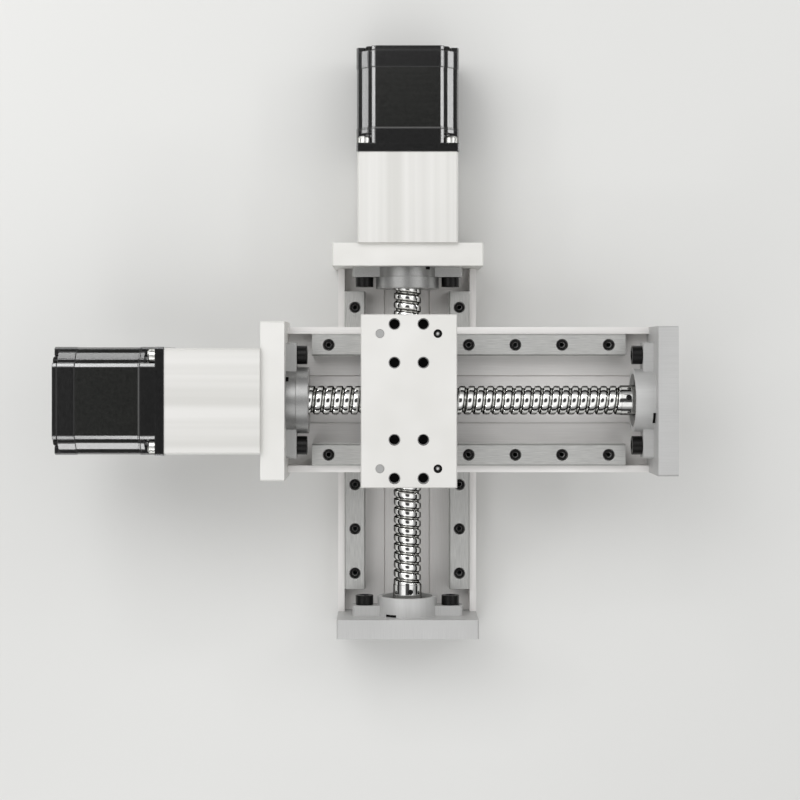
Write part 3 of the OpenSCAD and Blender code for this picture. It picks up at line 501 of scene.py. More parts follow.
# %% The tree that rolls a grid into a thread
def thread_tree(rows_per_turn=36, columns=64):
    """Geometry Nodes tree: a bar with a left-hand groove, along +X from the origin."""
    sizes = {"Radius": 7.7, "Lead": 5, "Length": 170, "Groove Depth": 1.3, "Land Crown": 0.2}
    tree, known = open_tree("thread", sizes)
    position = add(tree, "GeometryNodeInputPosition")
    place = add(tree, "ShaderNodeSeparateXYZ", {"Vector": position})
    known.update(X=place.outputs["X"], Y=place.outputs["Y"])
    sums = (
        # the turns that cover the bar, and the rows of the grid
        ("leads", "DIVIDE", "Length", "Lead"),
        ("and one more", "ADD", "leads", 1.0),
        ("turns", "CEIL", "and one more"),
        ("steps", "MULTIPLY", "turns", rows_per_turn),
        ("rows", "ADD", "steps", 1.0),
        # a point's way round the bar and up the grid, both from 0 to 1
        ("around", "ADD", "X", 0.5),
        ("row", "ADD", "Y", 0.5),
        # the leads it has climbed, and where that is between one groove and the next
        ("level", "MULTIPLY", "row", "turns"),
        ("still to turn", "SUBTRACT", 1.0, "around"),
        ("climbed", "SUBTRACT", "level", "still to turn"),
        ("straight", "SUBTRACT", "climbed", "around"),
        ("above zero", "ADD", "straight", 1.0001),
        ("phase", "FRACT", "above zero"),
        ("free", "MULTIPLY", "climbed", "Lead"),
        ("past start", "MAXIMUM", "free", 0.0),
        ("along", "MINIMUM", "past start", "Length"),
        # the groove takes 0.42 of the lead and is close to half an ellipse in section
        ("off groove", "SUBTRACT", "phase", 0.79),
        ("across", "DIVIDE", "off groove", 0.21),
        ("squared", "MULTIPLY", "across", "across"),
        ("rest", "SUBTRACT", 1.0, "squared"),
        ("inside", "MAXIMUM", "rest", 0.0),
        ("bowl", "POWER", "inside", 0.6),
        ("groove", "MULTIPLY", "bowl", "Groove Depth"),
        # the land between is slightly rounded: rolling pushes its edges down
        ("off land", "SUBTRACT", "phase", 0.29),
        ("beside", "DIVIDE", "off land", 0.29),
        ("distance", "ABSOLUTE", "beside"),
        ("cubed", "POWER", "distance", 3.0),
        ("capped", "MINIMUM", "cubed", 1.0),
        ("crown", "MULTIPLY", "capped", "Land Crown"),
        ("depth", "MAXIMUM", "groove", "crown"),
        # both ends run out of the groove within a third of a turn
        ("reach", "MULTIPLY", "Lead", 0.33),
        ("from start", "DIVIDE", "along", "reach"),
        ("left over", "SUBTRACT", "Length", "along"),
        ("from end", "DIVIDE", "left over", "reach"),
        ("nearer", "MINIMUM", "from start", "from end"),
        ("share", "MINIMUM", "nearer", 1.0),
        ("cut", "MULTIPLY", "depth", "share"),
        ("out", "SUBTRACT", "Radius", "cut"),
        # round the bar, the way that makes the thread left-hand
        ("angle", "MULTIPLY", "around", 2 * math.pi),
        ("mirrored", "SUBTRACT", math.pi, "angle"),
        ("cosine", "COSINE", "mirrored"),
        ("sine", "SINE", "angle"),
        ("side", "MULTIPLY", "out", "cosine"),
        ("up", "MULTIPLY", "out", "sine"),
    )
    work_out(tree, known, sums)
    shape = {"Size X": 1.0, "Size Y": 1.0, "Vertices X": columns + 1, "Vertices Y": known["rows"]}
    grid = add(tree, "GeometryNodeMeshGrid", shape)
    corner = {"X": known["along"], "Y": known["side"], "Z": known["up"]}
    rolled = add(tree, "ShaderNodeCombineXYZ", corner)
    moved = add(tree, "GeometryNodeSetPosition", {"Geometry": grid, "Position": rolled})
    merged = add(tree, "GeometryNodeMergeByDistance", {"Geometry": moved, "Distance": 1e-6})
    smooth = add(tree, "GeometryNodeSetShadeSmooth", {"Geometry": merged, "Shade Smooth": True})
    return close_tree(tree, smooth, known)


def baked(name, tree, values, place=Matrix.Identity(4), base=None):
    """Runs a Geometry Nodes tree on a mesh, empty if none is given, and returns a plain mesh object."""
    carrier = bpy.data.objects.new(name + "_carrier", base or bpy.data.meshes.new(name + "_carrier"))
    bpy.context.scene.collection.objects.link(carrier)
    modifier = carrier.modifiers.new("shape", "NODES")
    modifier.node_group = tree
    for socket in tree.interface.items_tree:
        if socket.item_type == "SOCKET" and socket.in_out == "INPUT" and socket.name in values:
            modifier[socket.identifier] = values[socket.name]
    carrier.update_tag()
    seen = bpy.context.evaluated_depsgraph_get()
    mesh = bpy.data.meshes.new_from_object(carrier.evaluated_get(seen))
    bpy.data.objects.remove(carrier)
    mesh.name = name
    mesh.transform(place)
    piece = bpy.data.objects.new(name, mesh)
    bpy.context.scene.collection.objects.link(piece)
    return piece


THREAD = thread_tree()

# %% [markdown]
# ## The whole screw
# The thread ends in two journals, which run in the bearings, and a thinner drive end, which sits in the
# coupling. They are turned on a lathe, so Spin turns their outline round the axis here too. The bars close
# the thread's open ends, and the result is one closed solid in place of the frame's plainer screw.

# %% Roll both threads and give them their journals
# places along the module, from the middle of its channel: the thread's ends, and where the drive end thins
THREAD_START = -87.7 * MM
THREAD_END = 80.0 * MM
DRIVE_STEP = -114.1 * MM
LEAD = 5 * MM
LAND_CROWN = 0.18 * MM
JOURNAL = 6 * MM
DRIVE_END = 5 * MM


def turned_bar(work, steps, axis_z):
    """Adds a closed solid of revolution round the screw's axis: steps are (place along X, radius)."""
    points = [work.verts.new((x, r, axis_z)) for x, r in steps]
    edges = [work.edges.new(pair) for pair in zip(points, points[1:])]
    bmesh.ops.spin(
        work, geom=points + edges, axis=(1, 0, 0), cent=(0, 0, axis_z), steps=64, angle=2 * math.pi
    )


def screw_piece(side):
    """The polished screw of one module: thread, two journals and the drive end."""
    low, high = own_box(f"{side}_ball_screw")
    axis_z, radius = screw_axis(side)
    sizes = {
        "Radius": radius, "Lead": LEAD, "Length": THREAD_END - THREAD_START, "Groove Depth": GROOVE,
        "Land Crown": LAND_CROWN, "Material": SHADED_GREASED[side],
    }
    piece = baked(f"{side}_polished_screw", THREAD, sizes, Matrix.Translation((THREAD_START, 0, axis_z)))
    work = bmesh.new()
    work.from_mesh(piece.data)
    soft, root = 0.5 * MM, radius - GROOVE
    near = [
        (low.x, 0), (low.x, DRIVE_END - soft), (low.x + soft, DRIVE_END), (DRIVE_STEP - soft, DRIVE_END),
        (DRIVE_STEP, JOURNAL), (THREAD_START, JOURNAL), (THREAD_START, root),
    ]
    far = [
        (THREAD_END, root), (THREAD_END, JOURNAL), (high.x - soft, JOURNAL), (high.x, JOURNAL - soft),
        (high.x, 0),
    ]
    turned_bar(work, near, axis_z)
    turned_bar(work, far, axis_z)
    bmesh.ops.remove_doubles(work, verts=work.verts, dist=2e-6)
    open_edges = [edge for edge in work.edges if edge.is_boundary]
    bmesh.ops.holes_fill(work, edges=open_edges, sides=0)
    bmesh.ops.recalc_face_normals(work, faces=work.faces)
    still_open = sum(edge.is_boundary for edge in work.edges)
    work.to_mesh(piece.data)
    work.free()
    piece.data.transform(PLACE[side])
    piece.data.set_sharp_from_angle(angle=math.radians(50))
    dress(piece, SHADED_GREASED[side])
    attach(piece, BODY[f"{side}_ball_screw"])
    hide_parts(f"{side}_ball_screw")
    print(piece.name, len(piece.data.polygons), "faces,", still_open, "open edges")


for side in SIDES:
    screw_piece(side)

# %% [markdown]
# ## Soft edges
# The frame's pieces have perfectly sharp edges, and a real machined edge never is: it is broken with a
# file or a small chamfer, and that edge catches the light. A copy of each large piece is merged, its flat
# faces are joined, and a Bevel modifier rounds what is left. The frame's own mesh stays for the motion.

# %% Copies with broken edges
def bevelled(mesh, name, width, material, node, limit=32):
    """Rounds a mesh's edges sharper than a limit in degrees and lets it stand for a frame node."""
    rough = bpy.data.objects.new(name + "_rough", mesh)
    bpy.context.scene.collection.objects.link(rough)
    bevel = rough.modifiers.new("edges", "BEVEL")
    bevel.width = width
    bevel.segments = 2
    bevel.limit_method = "ANGLE"
    bevel.angle_limit = math.radians(limit)
    bevel.harden_normals = True
    for face in mesh.polygons:
        face.use_smooth = True
    mesh.set_sharp_from_angle(angle=math.radians(limit))
    seen = bpy.context.evaluated_depsgraph_get()
    done = bpy.data.meshes.new_from_object(rough.evaluated_get(seen))
    bpy.data.objects.remove(rough)
    done.name = name
    piece = bpy.data.objects.new(name, done)
    bpy.context.scene.collection.objects.link(piece)
    dress(piece, material)
    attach(piece, BODY[node])
    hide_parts(node)
    return piece


def drop_layer(mesh, name):
    """Removes a layer of values from a mesh, if it has it."""
    if name in mesh.attributes:
        mesh.attributes.remove(mesh.attributes[name])


def softened(node, width, material):
    """A copy of a frame piece with its sharp edges rounded, in place of the piece itself."""
    work = bmesh.new()
    work.from_mesh(frame["nodes"][node].data)
    bmesh.ops.remove_doubles(work, verts=work.verts, dist=2e-6)
    bmesh.ops.dissolve_limit(work, angle_limit=math.radians(1), verts=work.verts, edges=work.edges)
    mesh = bpy.data.meshes.new(node + "_merged")
    work.to_mesh(mesh)
    work.free()
    drop_layer(mesh, "custom_normal")
    return bevelled(mesh, node + "_softened", width, material, node)


# %% Soften the machined pieces
# width of the broken edge, and the slot that the record gives the piece
SOFTENED = {
    "table": (0.5 * MM, "silver_anodised"),
    "motor_plate": (0.5 * MM, "silver_anodised"),
    "far_plate": (0.4 * MM, "clear_anodised"),
    "coupling_housing": (0.6 * MM, "silver_anodised"),
    "channel": (0.15 * MM, "clear_anodised"),
    "slider_block": (0.3 * MM, "clear_anodised"),
    "rails": (0.15 * MM, "rail_steel"),
    "fixed_bearing_housing": (0.3 * MM, "housing_steel"),
    "support_bearing_housing": (0.35 * MM, "clear_anodised"),
    "locking_rings": (0.2 * MM, "bearing_steel"),
    "table_pins": (0.12 * MM, "bearing_steel"),
    "motor_screws": (0.2 * MM, "zinc_plate"),
}
SOFT = {}
for side in SIDES:
    for part, (width, slot) in SOFTENED.items():
        made = softened(f"{side}_{part}", width, finishes(side)[part])
        SOFT[f"{side}_{part}"] = made
        print(made.name, len(made.data.polygons), "faces")

# %% [markdown]
# ## A second finish, and painted shade in notches and bores
# Some pieces show two finishes. The bearing housing at the motor has milled wings and a turned, darker
# boss. Both bosses have a notch for a spanner and the collar has a hole with a black set screw; their
# insides are painted black, which is painted shade.
# Two of the table's pins are black sleeves with a ball. The four screws through a motor's case are black.
# Faces are picked by where their middle lies in the module's own frame, so no face is named by number.

# %% Paint chosen faces
def paint_faces(piece, material, test):
    """A second material on the faces whose middle, in the module's own frame, passes a test."""
    back = PLACE[side_of(piece.name)].inverted()
    piece.data.materials.append(material)
    last = len(piece.data.materials) - 1
    chosen = [face for face in piece.data.polygons if test(back @ face.center)]
    for face in chosen:
        face.material_index = last
    print(piece.name, len(chosen), "faces in", material.name)


def turned_back(point, axis_z, degrees):
    """A point's place across and out from the screw's axis, seen from a direction that leans sideways."""
    lean = math.radians(degrees)
    y, z = point.y, point.z - axis_z
    return y * math.cos(lean) - z * math.sin(lean), y * math.sin(lean) + z * math.cos(lean)


# %% Bosses, and painted shade in the notches and the collar's hole
BOSS_RADIUS = 16.75 * MM
FLANGE_FOOT = 0.7 * MM


def paint_boss(side):
    """The turned boss and nose of the housing at the motor."""
    axis_z = screw_axis(side)[0]
    low = own_box(f"{side}_fixed_bearing_housing")[0]

    def on_boss(p):
        out = math.hypot(p.y, p.z - axis_z)
        return 0.9 * BOSS_RADIUS < out < 1.1 * BOSS_RADIUS and p.x > low.x + 1 * MM

    paint_faces(SOFT[f"{side}_fixed_bearing_housing"], BOSS[side], on_boss)


def paint_notch_shade(side, part, root, degrees, wide):
    """Painted shade in the spanner notch of a boss, at a place along the screw, leaning to one side."""
    axis_z = screw_axis(side)[0]

    def in_notch_shade(p):
        across, out = turned_back(p, axis_z, degrees)
        if abs(p.x - root) > 1.5 * MM or abs(across) > wide / 2 + 0.1 * MM:
            return False
        round_axis = math.hypot(p.y, p.z - axis_z)
        return BOSS_RADIUS - 1.4 * MM < out and round_axis < BOSS_RADIUS - 0.12 * MM

    paint_faces(SOFT[f"{side}_{part}"], OXIDE, in_notch_shade)


def paint_collar_hole_shade(side):
    """The collar's hole for its set screw, which leans 12 degrees, painted black: the screw and painted
    shade.
    """
    axis_z = screw_axis(side)[0]
    collar_end = own_box(f"{side}_locking_rings")[1].x
    hole_x = THREAD_END + 0.46 * (collar_end - THREAD_END)

    def in_hole_shade(p):
        across = turned_back(p, axis_z, 12)[0]
        return math.hypot(across, p.x - hole_x) < 1.75 * MM and p.z > axis_z

    paint_faces(SOFT[f"{side}_locking_rings"], OXIDE, in_hole_shade)


for side in SIDES:
    paint_boss(side)
    motor_root = own_box(f"{side}_motor_plate")[1].x + FLANGE_FOOT
    far_root = own_box(f"{side}_far_plate")[0].x - FLANGE_FOOT
    paint_notch_shade(side, "fixed_bearing_housing", motor_root, 43, 3 * MM)
    paint_notch_shade(side, "support_bearing_housing", far_root, -34, 6.5 * MM)
    paint_collar_hole_shade(side)


# %% Pins of the table and screws of the motor's case
def paint_sleeves(side):
    """The two pins that are threaded sleeves with a ball: all but the ball is black."""
    table_x = (PLACE[side].inverted() @ middle(f"{side}_table")).x
    low, high = own_box(f"{side}_table_pins")
    pin_radius, ball = 2.25 * MM, 1.3 * MM
    sleeve_x, rows = high.x - pin_radius, (low.y + pin_radius, high.y - pin_radius)

    def on_sleeve(p):
        if p.x < table_x:
            return False
        if p.z > high.z - 0.15 * MM:
            return True
        return min(math.hypot(p.x - sleeve_x, p.y - y) for y in rows) > ball

    paint_faces(SOFT[f"{side}_table_pins"], OXIDE, on_sleeve)


def paint_case_screws(side):
    """The long screws through the motor's case are black. The four that hold the motor stay zinc plated."""
    sheets_end = own_box(f"{side}_motor_stator")[1].x
    paint_faces(SOFT[f"{side}_motor_screws"], OXIDE, lambda p: p.x < sheets_end)


for side in SIDES:
    paint_sleeves(side)
    paint_case_screws(side)

# %% [markdown]
# ## Socket screws
# The stage is held together by socket head screws: a round head with a hexagon socket. They repeat, so one
# Geometry Nodes tree makes a screw from a few named sizes, cuts its socket with a boolean and sets it down
# at each place. A seeded spin leaves the sockets out of line, as a hand does. The places and the sizes are
# read from the frame's own screws: each closed shell of a node is one screw, and its wide end is its head.

# %% Read the screws of a node
def shells(node):
    """The closed shells of a node, in the mesh's order, each as a list of points in the stage's frame."""
    work = bmesh.new()
    work.from_mesh(frame["nodes"][node].data)
    bmesh.ops.remove_doubles(work, verts=work.verts, dist=2e-6)
    seen, found = set(), []
    for first in work.verts:
        if first in seen:
            continue
        seen.add(first)
        group, front = [], [first]
        while front:
            vert = front.pop()
            group.append(vert.co.copy())
            for other in (e.other_vert(vert) for e in vert.link_edges):
                if other not in seen:
                    seen.add(other)
                    front.append(other)
        found.append(group)
    work.free()
    return found


def screws_of(node, axis):
    """Head top, direction, head radius, head height and length of each screw; axis 0 is the module's X."""
    ahead = PLACE[side_of(node)].to_3x3() @ Vector((1, 0, 0)) if axis == 0 else Vector((0, 0, 1))
    found = []
    for points in shells(node):
        along = [p.dot(ahead) for p in points]
        centre = sum(points, Vector()) / len(points)
        for i in range(3):
            if abs(ahead[i]) < 0.5:
                centre[i] = (min(p[i] for p in points) + max(p[i] for p in points)) / 2
        off = [((p - centre) - (p - centre).dot(ahead) * ahead).length for p in points]
        radius = max(off)
        wide = [a for a, o in zip(along, off) if o > 0.97 * radius]
        start, end = min(along), max(along)
        forward = sum(wide) / len(wide) > (start + end) / 2
        top = end if forward else start
        height = (end - min(wide)) if forward else (max(wide) - start)
        point = centre + (top - centre.dot(ahead)) * ahead
        found.append((point, ahead if forward else -ahead, radius, height, end - start))
    return found


print("lower rail screws found:", len(screws_of("lower_rail_screws", 2)))


# %% The tree that sets socket screws at points
def socket_screw_tree():
    """Geometry Nodes tree: a socket screw at every point of the input mesh, its head along 'way'."""
    sizes = {"Head Radius": 5, "Head Height": 6, "Thread": 6, "Length": 20}
    tree, known = open_tree("socket_screws", sizes, seeded=True)
    sums = (
        ("head middle", "MULTIPLY", "Head Height", -0.5),
        # across its corners a socket measures 0.96 of the thread, and it is half the thread deep
        ("key radius", "MULTIPLY", "Thread", 0.48),
        # below the hexagon lies the cone that the drill leaves
        ("drill radius", "MULTIPLY", "Thread", 0.4),
        ("drill depth", "MULTIPLY", "Thread", 0.6),
        ("drill tip", "MULTIPLY", "Thread", -0.95),
        ("shank long", "SUBTRACT", "Length", "Head Height"),
        ("shank half", "MULTIPLY", "shank long", -0.5),
        ("shank middle", "SUBTRACT", "shank half", "Head Height"),
        ("shank radius", "MULTIPLY", "Thread", 0.49),
    )
    work_out(tree, known, sums)
    rods = {
        "head": (32, known["Head Radius"], known["Head Height"], known["head middle"]),
        "key": (6, known["key radius"], known["Thread"], 0.0),
        "shank": (24, known["shank radius"], known["shank long"], known["shank middle"]),
    }
    solid = {}
    for name, (sides, radius, depth, lift) in rods.items():
        shape = {"Vertices": sides, "Radius": radius, "Depth": depth}
        rod = add(tree, "GeometryNodeMeshCylinder", shape)
        offset = add(tree, "ShaderNodeCombineXYZ", {"Z": lift})
        solid[name] = add(tree, "GeometryNodeTransform", {"Geometry": rod, "Translation": offset})
    drill = {
        "Vertices": 24, "Radius Bottom": 0.0, "Radius Top": known["drill radius"],
        "Depth": known["drill depth"],
    }
    cone = add(tree, "GeometryNodeMeshCone", drill)
    offset = add(tree, "ShaderNodeCombineXYZ", {"Z": known["drill tip"]})
    tip = add(tree, "GeometryNodeTransform", {"Geometry": cone, "Translation": offset})
    cut = add(tree, "GeometryNodeMeshBoolean", {"Mesh 1": solid["head"]}, operation="DIFFERENCE")
    whole = add(tree, "GeometryNodeJoinGeometry")
    for source, socket in (
        (solid["key"], cut.inputs["Mesh 2"]),
        (tip, cut.inputs["Mesh 2"]),
        (cut, whole.inputs[0]),
        (solid["shank"], whole.inputs[0]),
    ):
        tree.links.new(source.outputs[0], socket)
    way = add(tree, "GeometryNodeInputNamedAttribute", {"Name": "way"}, data_type="FLOAT_VECTOR")
    facing = add(tree, "FunctionNodeAlignRotationToVector", {"Vector": way}, axis="Z")
    # a random turn of up to 60 degrees, after which a hexagon looks the same again
    spin = add(tree, "FunctionNodeRandomValue", {3: 1.047, "Seed": known["Seed"]}, data_type="FLOAT")
    turn = add(tree, "ShaderNodeCombineXYZ", {"Z": spin.outputs[1]})
    copies = {"Points": known["Geometry"], "Instance": whole, "Rotation": facing}
    placed = add(tree, "GeometryNodeInstanceOnPoints", copies)
    spun = add(
        tree, "GeometryNodeRotateInstances", {"Instances": placed, "Rotation": turn, "Local Space": True}
    )
    return close_tree(tree, spun, known)


def points_mesh(name, points, ways=None):
    """A mesh of loose points, to put copies on; ways are the directions that their tops face."""
    mesh = bpy.data.meshes.new(name)
    mesh.from_pydata([tuple(p) for p in points], [], [])
    if ways:
        layer = mesh.attributes.new("way", "FLOAT_VECTOR", "POINT")
        layer.data.foreach_set("vector", [c for way in ways for c in way])
    return mesh


SOCKET_SCREWS = socket_screw_tree()


# %% Set the screws down
def paint_socket_highlights(piece, read, radius):
    """Sockets seen from above catch light on their walls: a pale metal is painted there, a painted
    highlight.
    """
    # pale milled aluminium inside a black screw's socket is a painted highlight
    piece.data.materials.append(FAR[side_of(piece.name)])
    for face in piece.data.polygons:
        near = min(read, key=lambda r: (r[0] - face.center).length)[0]
        if (face.center.xy - near.xy).length < radius and near.z - face.center.z > 0.2 * MM:
            face.material_index = 1


def socket_screws(node, axis, seed):
    """Replaces a node of socket screws by finer ones at the same places."""
    read = screws_of(node, axis)
    radius, height, length = read[0][2:]
    # a socket head measures 1.68 times its thread, counted across the head
    thread = radius / 0.84
    sizes = {
        "Head Radius": radius, "Head Height": height, "Thread": thread, "Length": length - 0.2 * MM,
        "Seed": seed, "Material": OXIDE,
    }
    base = points_mesh(node + "_places", [r[0] for r in read], [r[1] for r in read])
    made = baked(node + "_turned", SOCKET_SCREWS, sizes, base=base)
    mesh = made.data
    bpy.data.objects.remove(made)
    drop_layer(mesh, "way")
    piece = bevelled(mesh, node + "_fine", 0.1 * radius, OXIDE, node)
    if axis == 2:
        paint_socket_highlights(piece, read, 0.45 * thread)
    print(node, len(read), "screws, head", round(2 * radius / MM, 2), "x", round(height / MM, 2), "mm")


SCREW_AXES = {"rail_screws": 2, "bearing_housing_screws": 0, "end_plate_screws": 0, "nut_screws": 0}
for side in SIDES:
    for seed, (part, axis) in enumerate(SCREW_AXES.items(), start=1):
        socket_screws(f"{side}_{part}", axis, seed)

# %% [markdown]
# ## Tapped holes
# Each table has eight M6 holes. In the real one the tap leaves a spiral of fine ridges, so from above a
# tapped hole is a black disc with a few grey arcs. A wire coil in each hole gives the ridges, and the wall
# behind it is painted black: painted shade. One Geometry Nodes tree winds a coil and sets it down at every
# hole.

# %% The tree that winds coils at points
def coil_tree():
    """Geometry Nodes tree: a wound wire with a diamond section at every point of the input mesh."""
    tree, known = open_tree("coils", {"Diameter": 6, "Pitch": 1, "Depth": 8, "Wire": 0.5})
    sums = (
        ("middle line", "SUBTRACT", "Diameter", "Wire"),
        ("half", "MULTIPLY", "middle line", 0.5),
        ("turns", "DIVIDE", "Depth", "Pitch"),
        ("wire radius", "MULTIPLY", "Wire", 0.5),
    )
    work_out(tree, known, sums)
    winding = {
        "Resolution": 24, "Rotations": known["turns"], "Start Radius": known["half"],
        "End Radius": known["half"], "Height": known["Depth"],
    }
    coil = add(tree, "GeometryNodeCurveSpiral", winding)
    section = {"Resolution": 4, "Radius": known["wire radius"]}
    diamond = add(tree, "GeometryNodeCurvePrimitiveCircle", section)
    wire = add(
        tree, "GeometryNodeCurveToMesh", {"Curve": coil, "Profile Curve": diamond, "Fill Caps": True}
    )
    placed = add(tree, "GeometryNodeInstanceOnPoints", {"Points": known["Geometry"], "Instance": wire})
    return close_tree(tree, placed, known)


COILS = coil_tree()

# %% Coils and painted shade on the walls of the tables' holes
HOLE_DEPTH = 8.2 * MM
HOLE_RADIUS = 3 * MM
HOLES_ALONG = 7.5 * MM
HOLES_ACROSS = (20 * MM, 40 * MM)
RIDGE = 0.35 * MM


def table_holes(side):
    """Middle of each M6 hole on the table's top face, in the stage's frame."""
    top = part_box(f"{side}_table")[1][2]
    centre = middle(f"{side}_table")
    places = []
    for a in (-HOLES_ALONG, HOLES_ALONG):
        for b in [s * c for s in (-1, 1) for c in HOLES_ACROSS]:
            x, y = (a, b) if side == "upper" else (b, a)
            places.append(Vector((centre.x + x, centre.y + y, top)))
    return places


def paint_hole_shade(piece, places, radius, material):
    """Gives the faces inside upright holes a material of their own; a dark one there is painted shade."""
    piece.data.materials.append(material)
    last, count = len(piece.data.materials) - 1, 0
    for face in piece.data.polygons:
        near = min((face.center.xy - p.xy).length for p in places)
        if near < radius and face.center.z < places[0].z - 0.3 * MM:
            face.material_index = last
            count += 1
    return count


for side in SIDES:
    spots = table_holes(side)
    bottoms = [p - Vector((0, 0, HOLE_DEPTH - 0.3 * MM)) for p in spots]
    sizes = {
        "Diameter": 2 * HOLE_RADIUS - 0.1 * MM, "Pitch": 1 * MM, "Depth": HOLE_DEPTH - 1.2 * MM,
        "Wire": RIDGE, "Material": FAR[side],
    }
    coils = baked(f"{side}_table_threads", COILS, sizes, base=points_mesh("hole_points", bottoms))
    dress(coils, FAR[side])
    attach(coils, BODY[f"{side}_table"])
    # the walls of the table's holes are painted black: painted shade
    dark = paint_hole_shade(SOFT[f"{side}_table"], spots, HOLE_RADIUS + 0.2 * MM, OXIDE)
    print(coils.name, len(coils.data.polygons), "faces,", dark, "dark wall faces")

# %% [markdown]
# ## Motors
# A stepper motor of this size is a stack: a cast front cap with a square flange, a stator of thin steel
# sheets and a cast rear cap, all coated black. Its corners are stepped: small shelves with a slope between,
# which leave room for the screws. The outline is drawn once for a quarter and mirrored, and each part of
# the motor is that outline pushed along the screw's axis. A plain bevelled box would miss the lines that
# the steps catch.

# %% Outlines of a motor
def arc(centre, radius, start, end, steps):
    """Points on an arc from one angle to another, in degrees."""
    turns = [math.radians(start + (end - start) * i / steps) for i in range(steps + 1)]
    return [(centre[0] + radius * math.cos(t), centre[1] + radius * math.sin(t)) for t in turns]


def quarter(half, kind):
    """The first quarter of an outline, from its top edge to its side; half is half the motor's width."""
    edge, shelf, slope = 0.702 * half, 0.894 * half, 0.773 * half
    upper = [(0.635 * half, half), (edge, 0.971 * half)]
    if kind == "column":
        corner = [(edge, shelf), (slope, shelf)]
    elif kind == "screw_room":
        corner = [(edge, shelf)] + arc((0.836 * half, 0.836 * half), 4.6 * MM, 165, 225, 5)
    else:
        corner = [(edge, 0.84 * half), (0.617 * half, 0.80 * half), (0.617 * half, 0.617 * half)]
    half_way = upper + corner
    mirrored = [(b, a) for a, b in reversed(half_way)]
    if math.dist(half_way[-1], mirrored[0]) < 1e-6:
        mirrored = mirrored[1:]
    return half_way + mirrored


def outline(half, kind):
    """The whole outline, as a list of (across, up) from the screw's axis."""
    cut = 0.8 * MM
    first = [(half - cut, half), (half, half - cut)] if kind == "flange" else quarter(half, kind)
    loop = []
    for turn in range(4):
        angle = -turn * math.pi / 2
        c, s = math.cos(angle), math.sin(angle)
        loop += [(a * c - b * s, a * s + b * c) for a, b in first]
    return loop


def prism(work, loop, start, end, axis_z):
    """Adds a closed prism along X between two places."""
    ends = [[work.verts.new((x, a, axis_z + b)) for a, b in loop] for x in (start, end)]
    work.faces.new(ends[0])
    work.faces.new(list(reversed(ends[1])))
    for i in range(len(loop)):
        k = (i + 1) % len(loop)
        work.faces.new((ends[0][k], ends[0][i], ends[1][i], ends[1][k]))


print("column outline has", len(outline(28.2 * MM, "column")), "points")


# %% The three parts of a motor
LAP = 0.05 * MM


def hardened(work, name, width, material, node):
    """Turns a bmesh in a module's own frame into a piece with small bevels, in place of a frame node."""
    bmesh.ops.recalc_face_normals(work, faces=work.faces)
    mesh = bpy.data.meshes.new(name + "_plain")
    work.to_mesh(mesh)
    work.free()
    mesh.transform(PLACE[side_of(node)])
    return bevelled(mesh, name, width, material, node, limit=15)


def motor_axis(side):
    """Height of the motor's axis in the module's own frame: the middle of its stator."""
    low, high = own_box(f"{side}_motor_stator")
    return (low.z + high.z) / 2


def front_cap(side):
    """The cast front cap: a square flange, a head with room for the screws and a stepped column."""
    low, high = own_box(f"{side}_motor_front_cap")
    axis_z, half = motor_axis(side), (high.y - low.y) / 2
    flange, head, pilot = 4.8 * MM, 5.5 * MM, 1.6 * MM
    face = high.x - pilot
    back = face - flange
    work = bmesh.new()
    prism(work, outline(half, "flange"), back, face, axis_z)
    # the middle part runs 1 mm into both others, so their rounded ends leave no line on the flat sides
    room = outline(half - 0.02 * MM, "screw_room")
    prism(work, room, back - head - 1 * MM, back + 1 * MM, axis_z)
    prism(work, outline(half, "column"), low.x, back - head + LAP, axis_z)
    hardened(work, f"{side}_motor_front_cast", 0.35 * MM, CAP_BLACK, f"{side}_motor_front_cap")
    return half


def stator(side, half):
    """The stack of sheets. The last sheet before the front cap stands a little proud; its flat sides carry a
    painted highlight.
    """
    low, high = own_box(f"{side}_motor_stator")
    axis_z, seam = motor_axis(side), high.x - 0.7 * MM
    work = bmesh.new()
    prism(work, outline(half - 0.25 * MM, "column"), low.x, seam, axis_z)
    prism(work, outline(half - 0.05 * MM, "column"), seam - LAP, high.x, axis_z)
    piece = hardened(work, f"{side}_motor_sheets", 0.2 * MM, STATOR_BLACK[side], f"{side}_motor_stator")

    # only the flat sides get the lighter grey, a painted highlight; the bevels stay black
    def on_seam_highlight(p):
        return p.x > seam - LAP and min(abs(p.y), abs(p.z - axis_z)) < 0.3 * half

    paint_faces(piece, SEAM_HIGHLIGHT[side], on_seam_highlight)


def rear_cap(side, half):
    """The cast rear cap: the same column, and a last step that leaves room for the screw heads."""
    low, high = own_box(f"{side}_motor_rear_cap")
    axis_z, step = motor_axis(side), low.x + 2.4 * MM
    work = bmesh.new()
    prism(work, outline(half, "column"), step, high.x, axis_z)
    prism(work, outline(half, "rear"), low.x, step + LAP, axis_z)
    hardened(work, f"{side}_motor_rear_cast", 0.35 * MM, CAP_BLACK, f"{side}_motor_rear_cap")


# %% Build the motors
for side in SIDES:
    half_width = front_cap(side)
    stator(side, half_width)
    rear_cap(side, half_width)
    print(side, "motor is", round(2 * half_width / MM, 1), "mm wide")

# %% [markdown]
# ## Floor, light and camera
# The stage stands on a plain pale floor under a soft sky. Polished steel and gloss paint show what is
# around them, so the sky is a tent painted by height: near black low down, white half way up and grey round
# the top. That gives the screw its bands and leaves the motors' flat tops dark. Beside each motor, one pair
# of long soft lamps at its own height and one pair above draw the bright lines on its stepped corners. The
# camera looks straight down, as the stage is drawn in a plan.

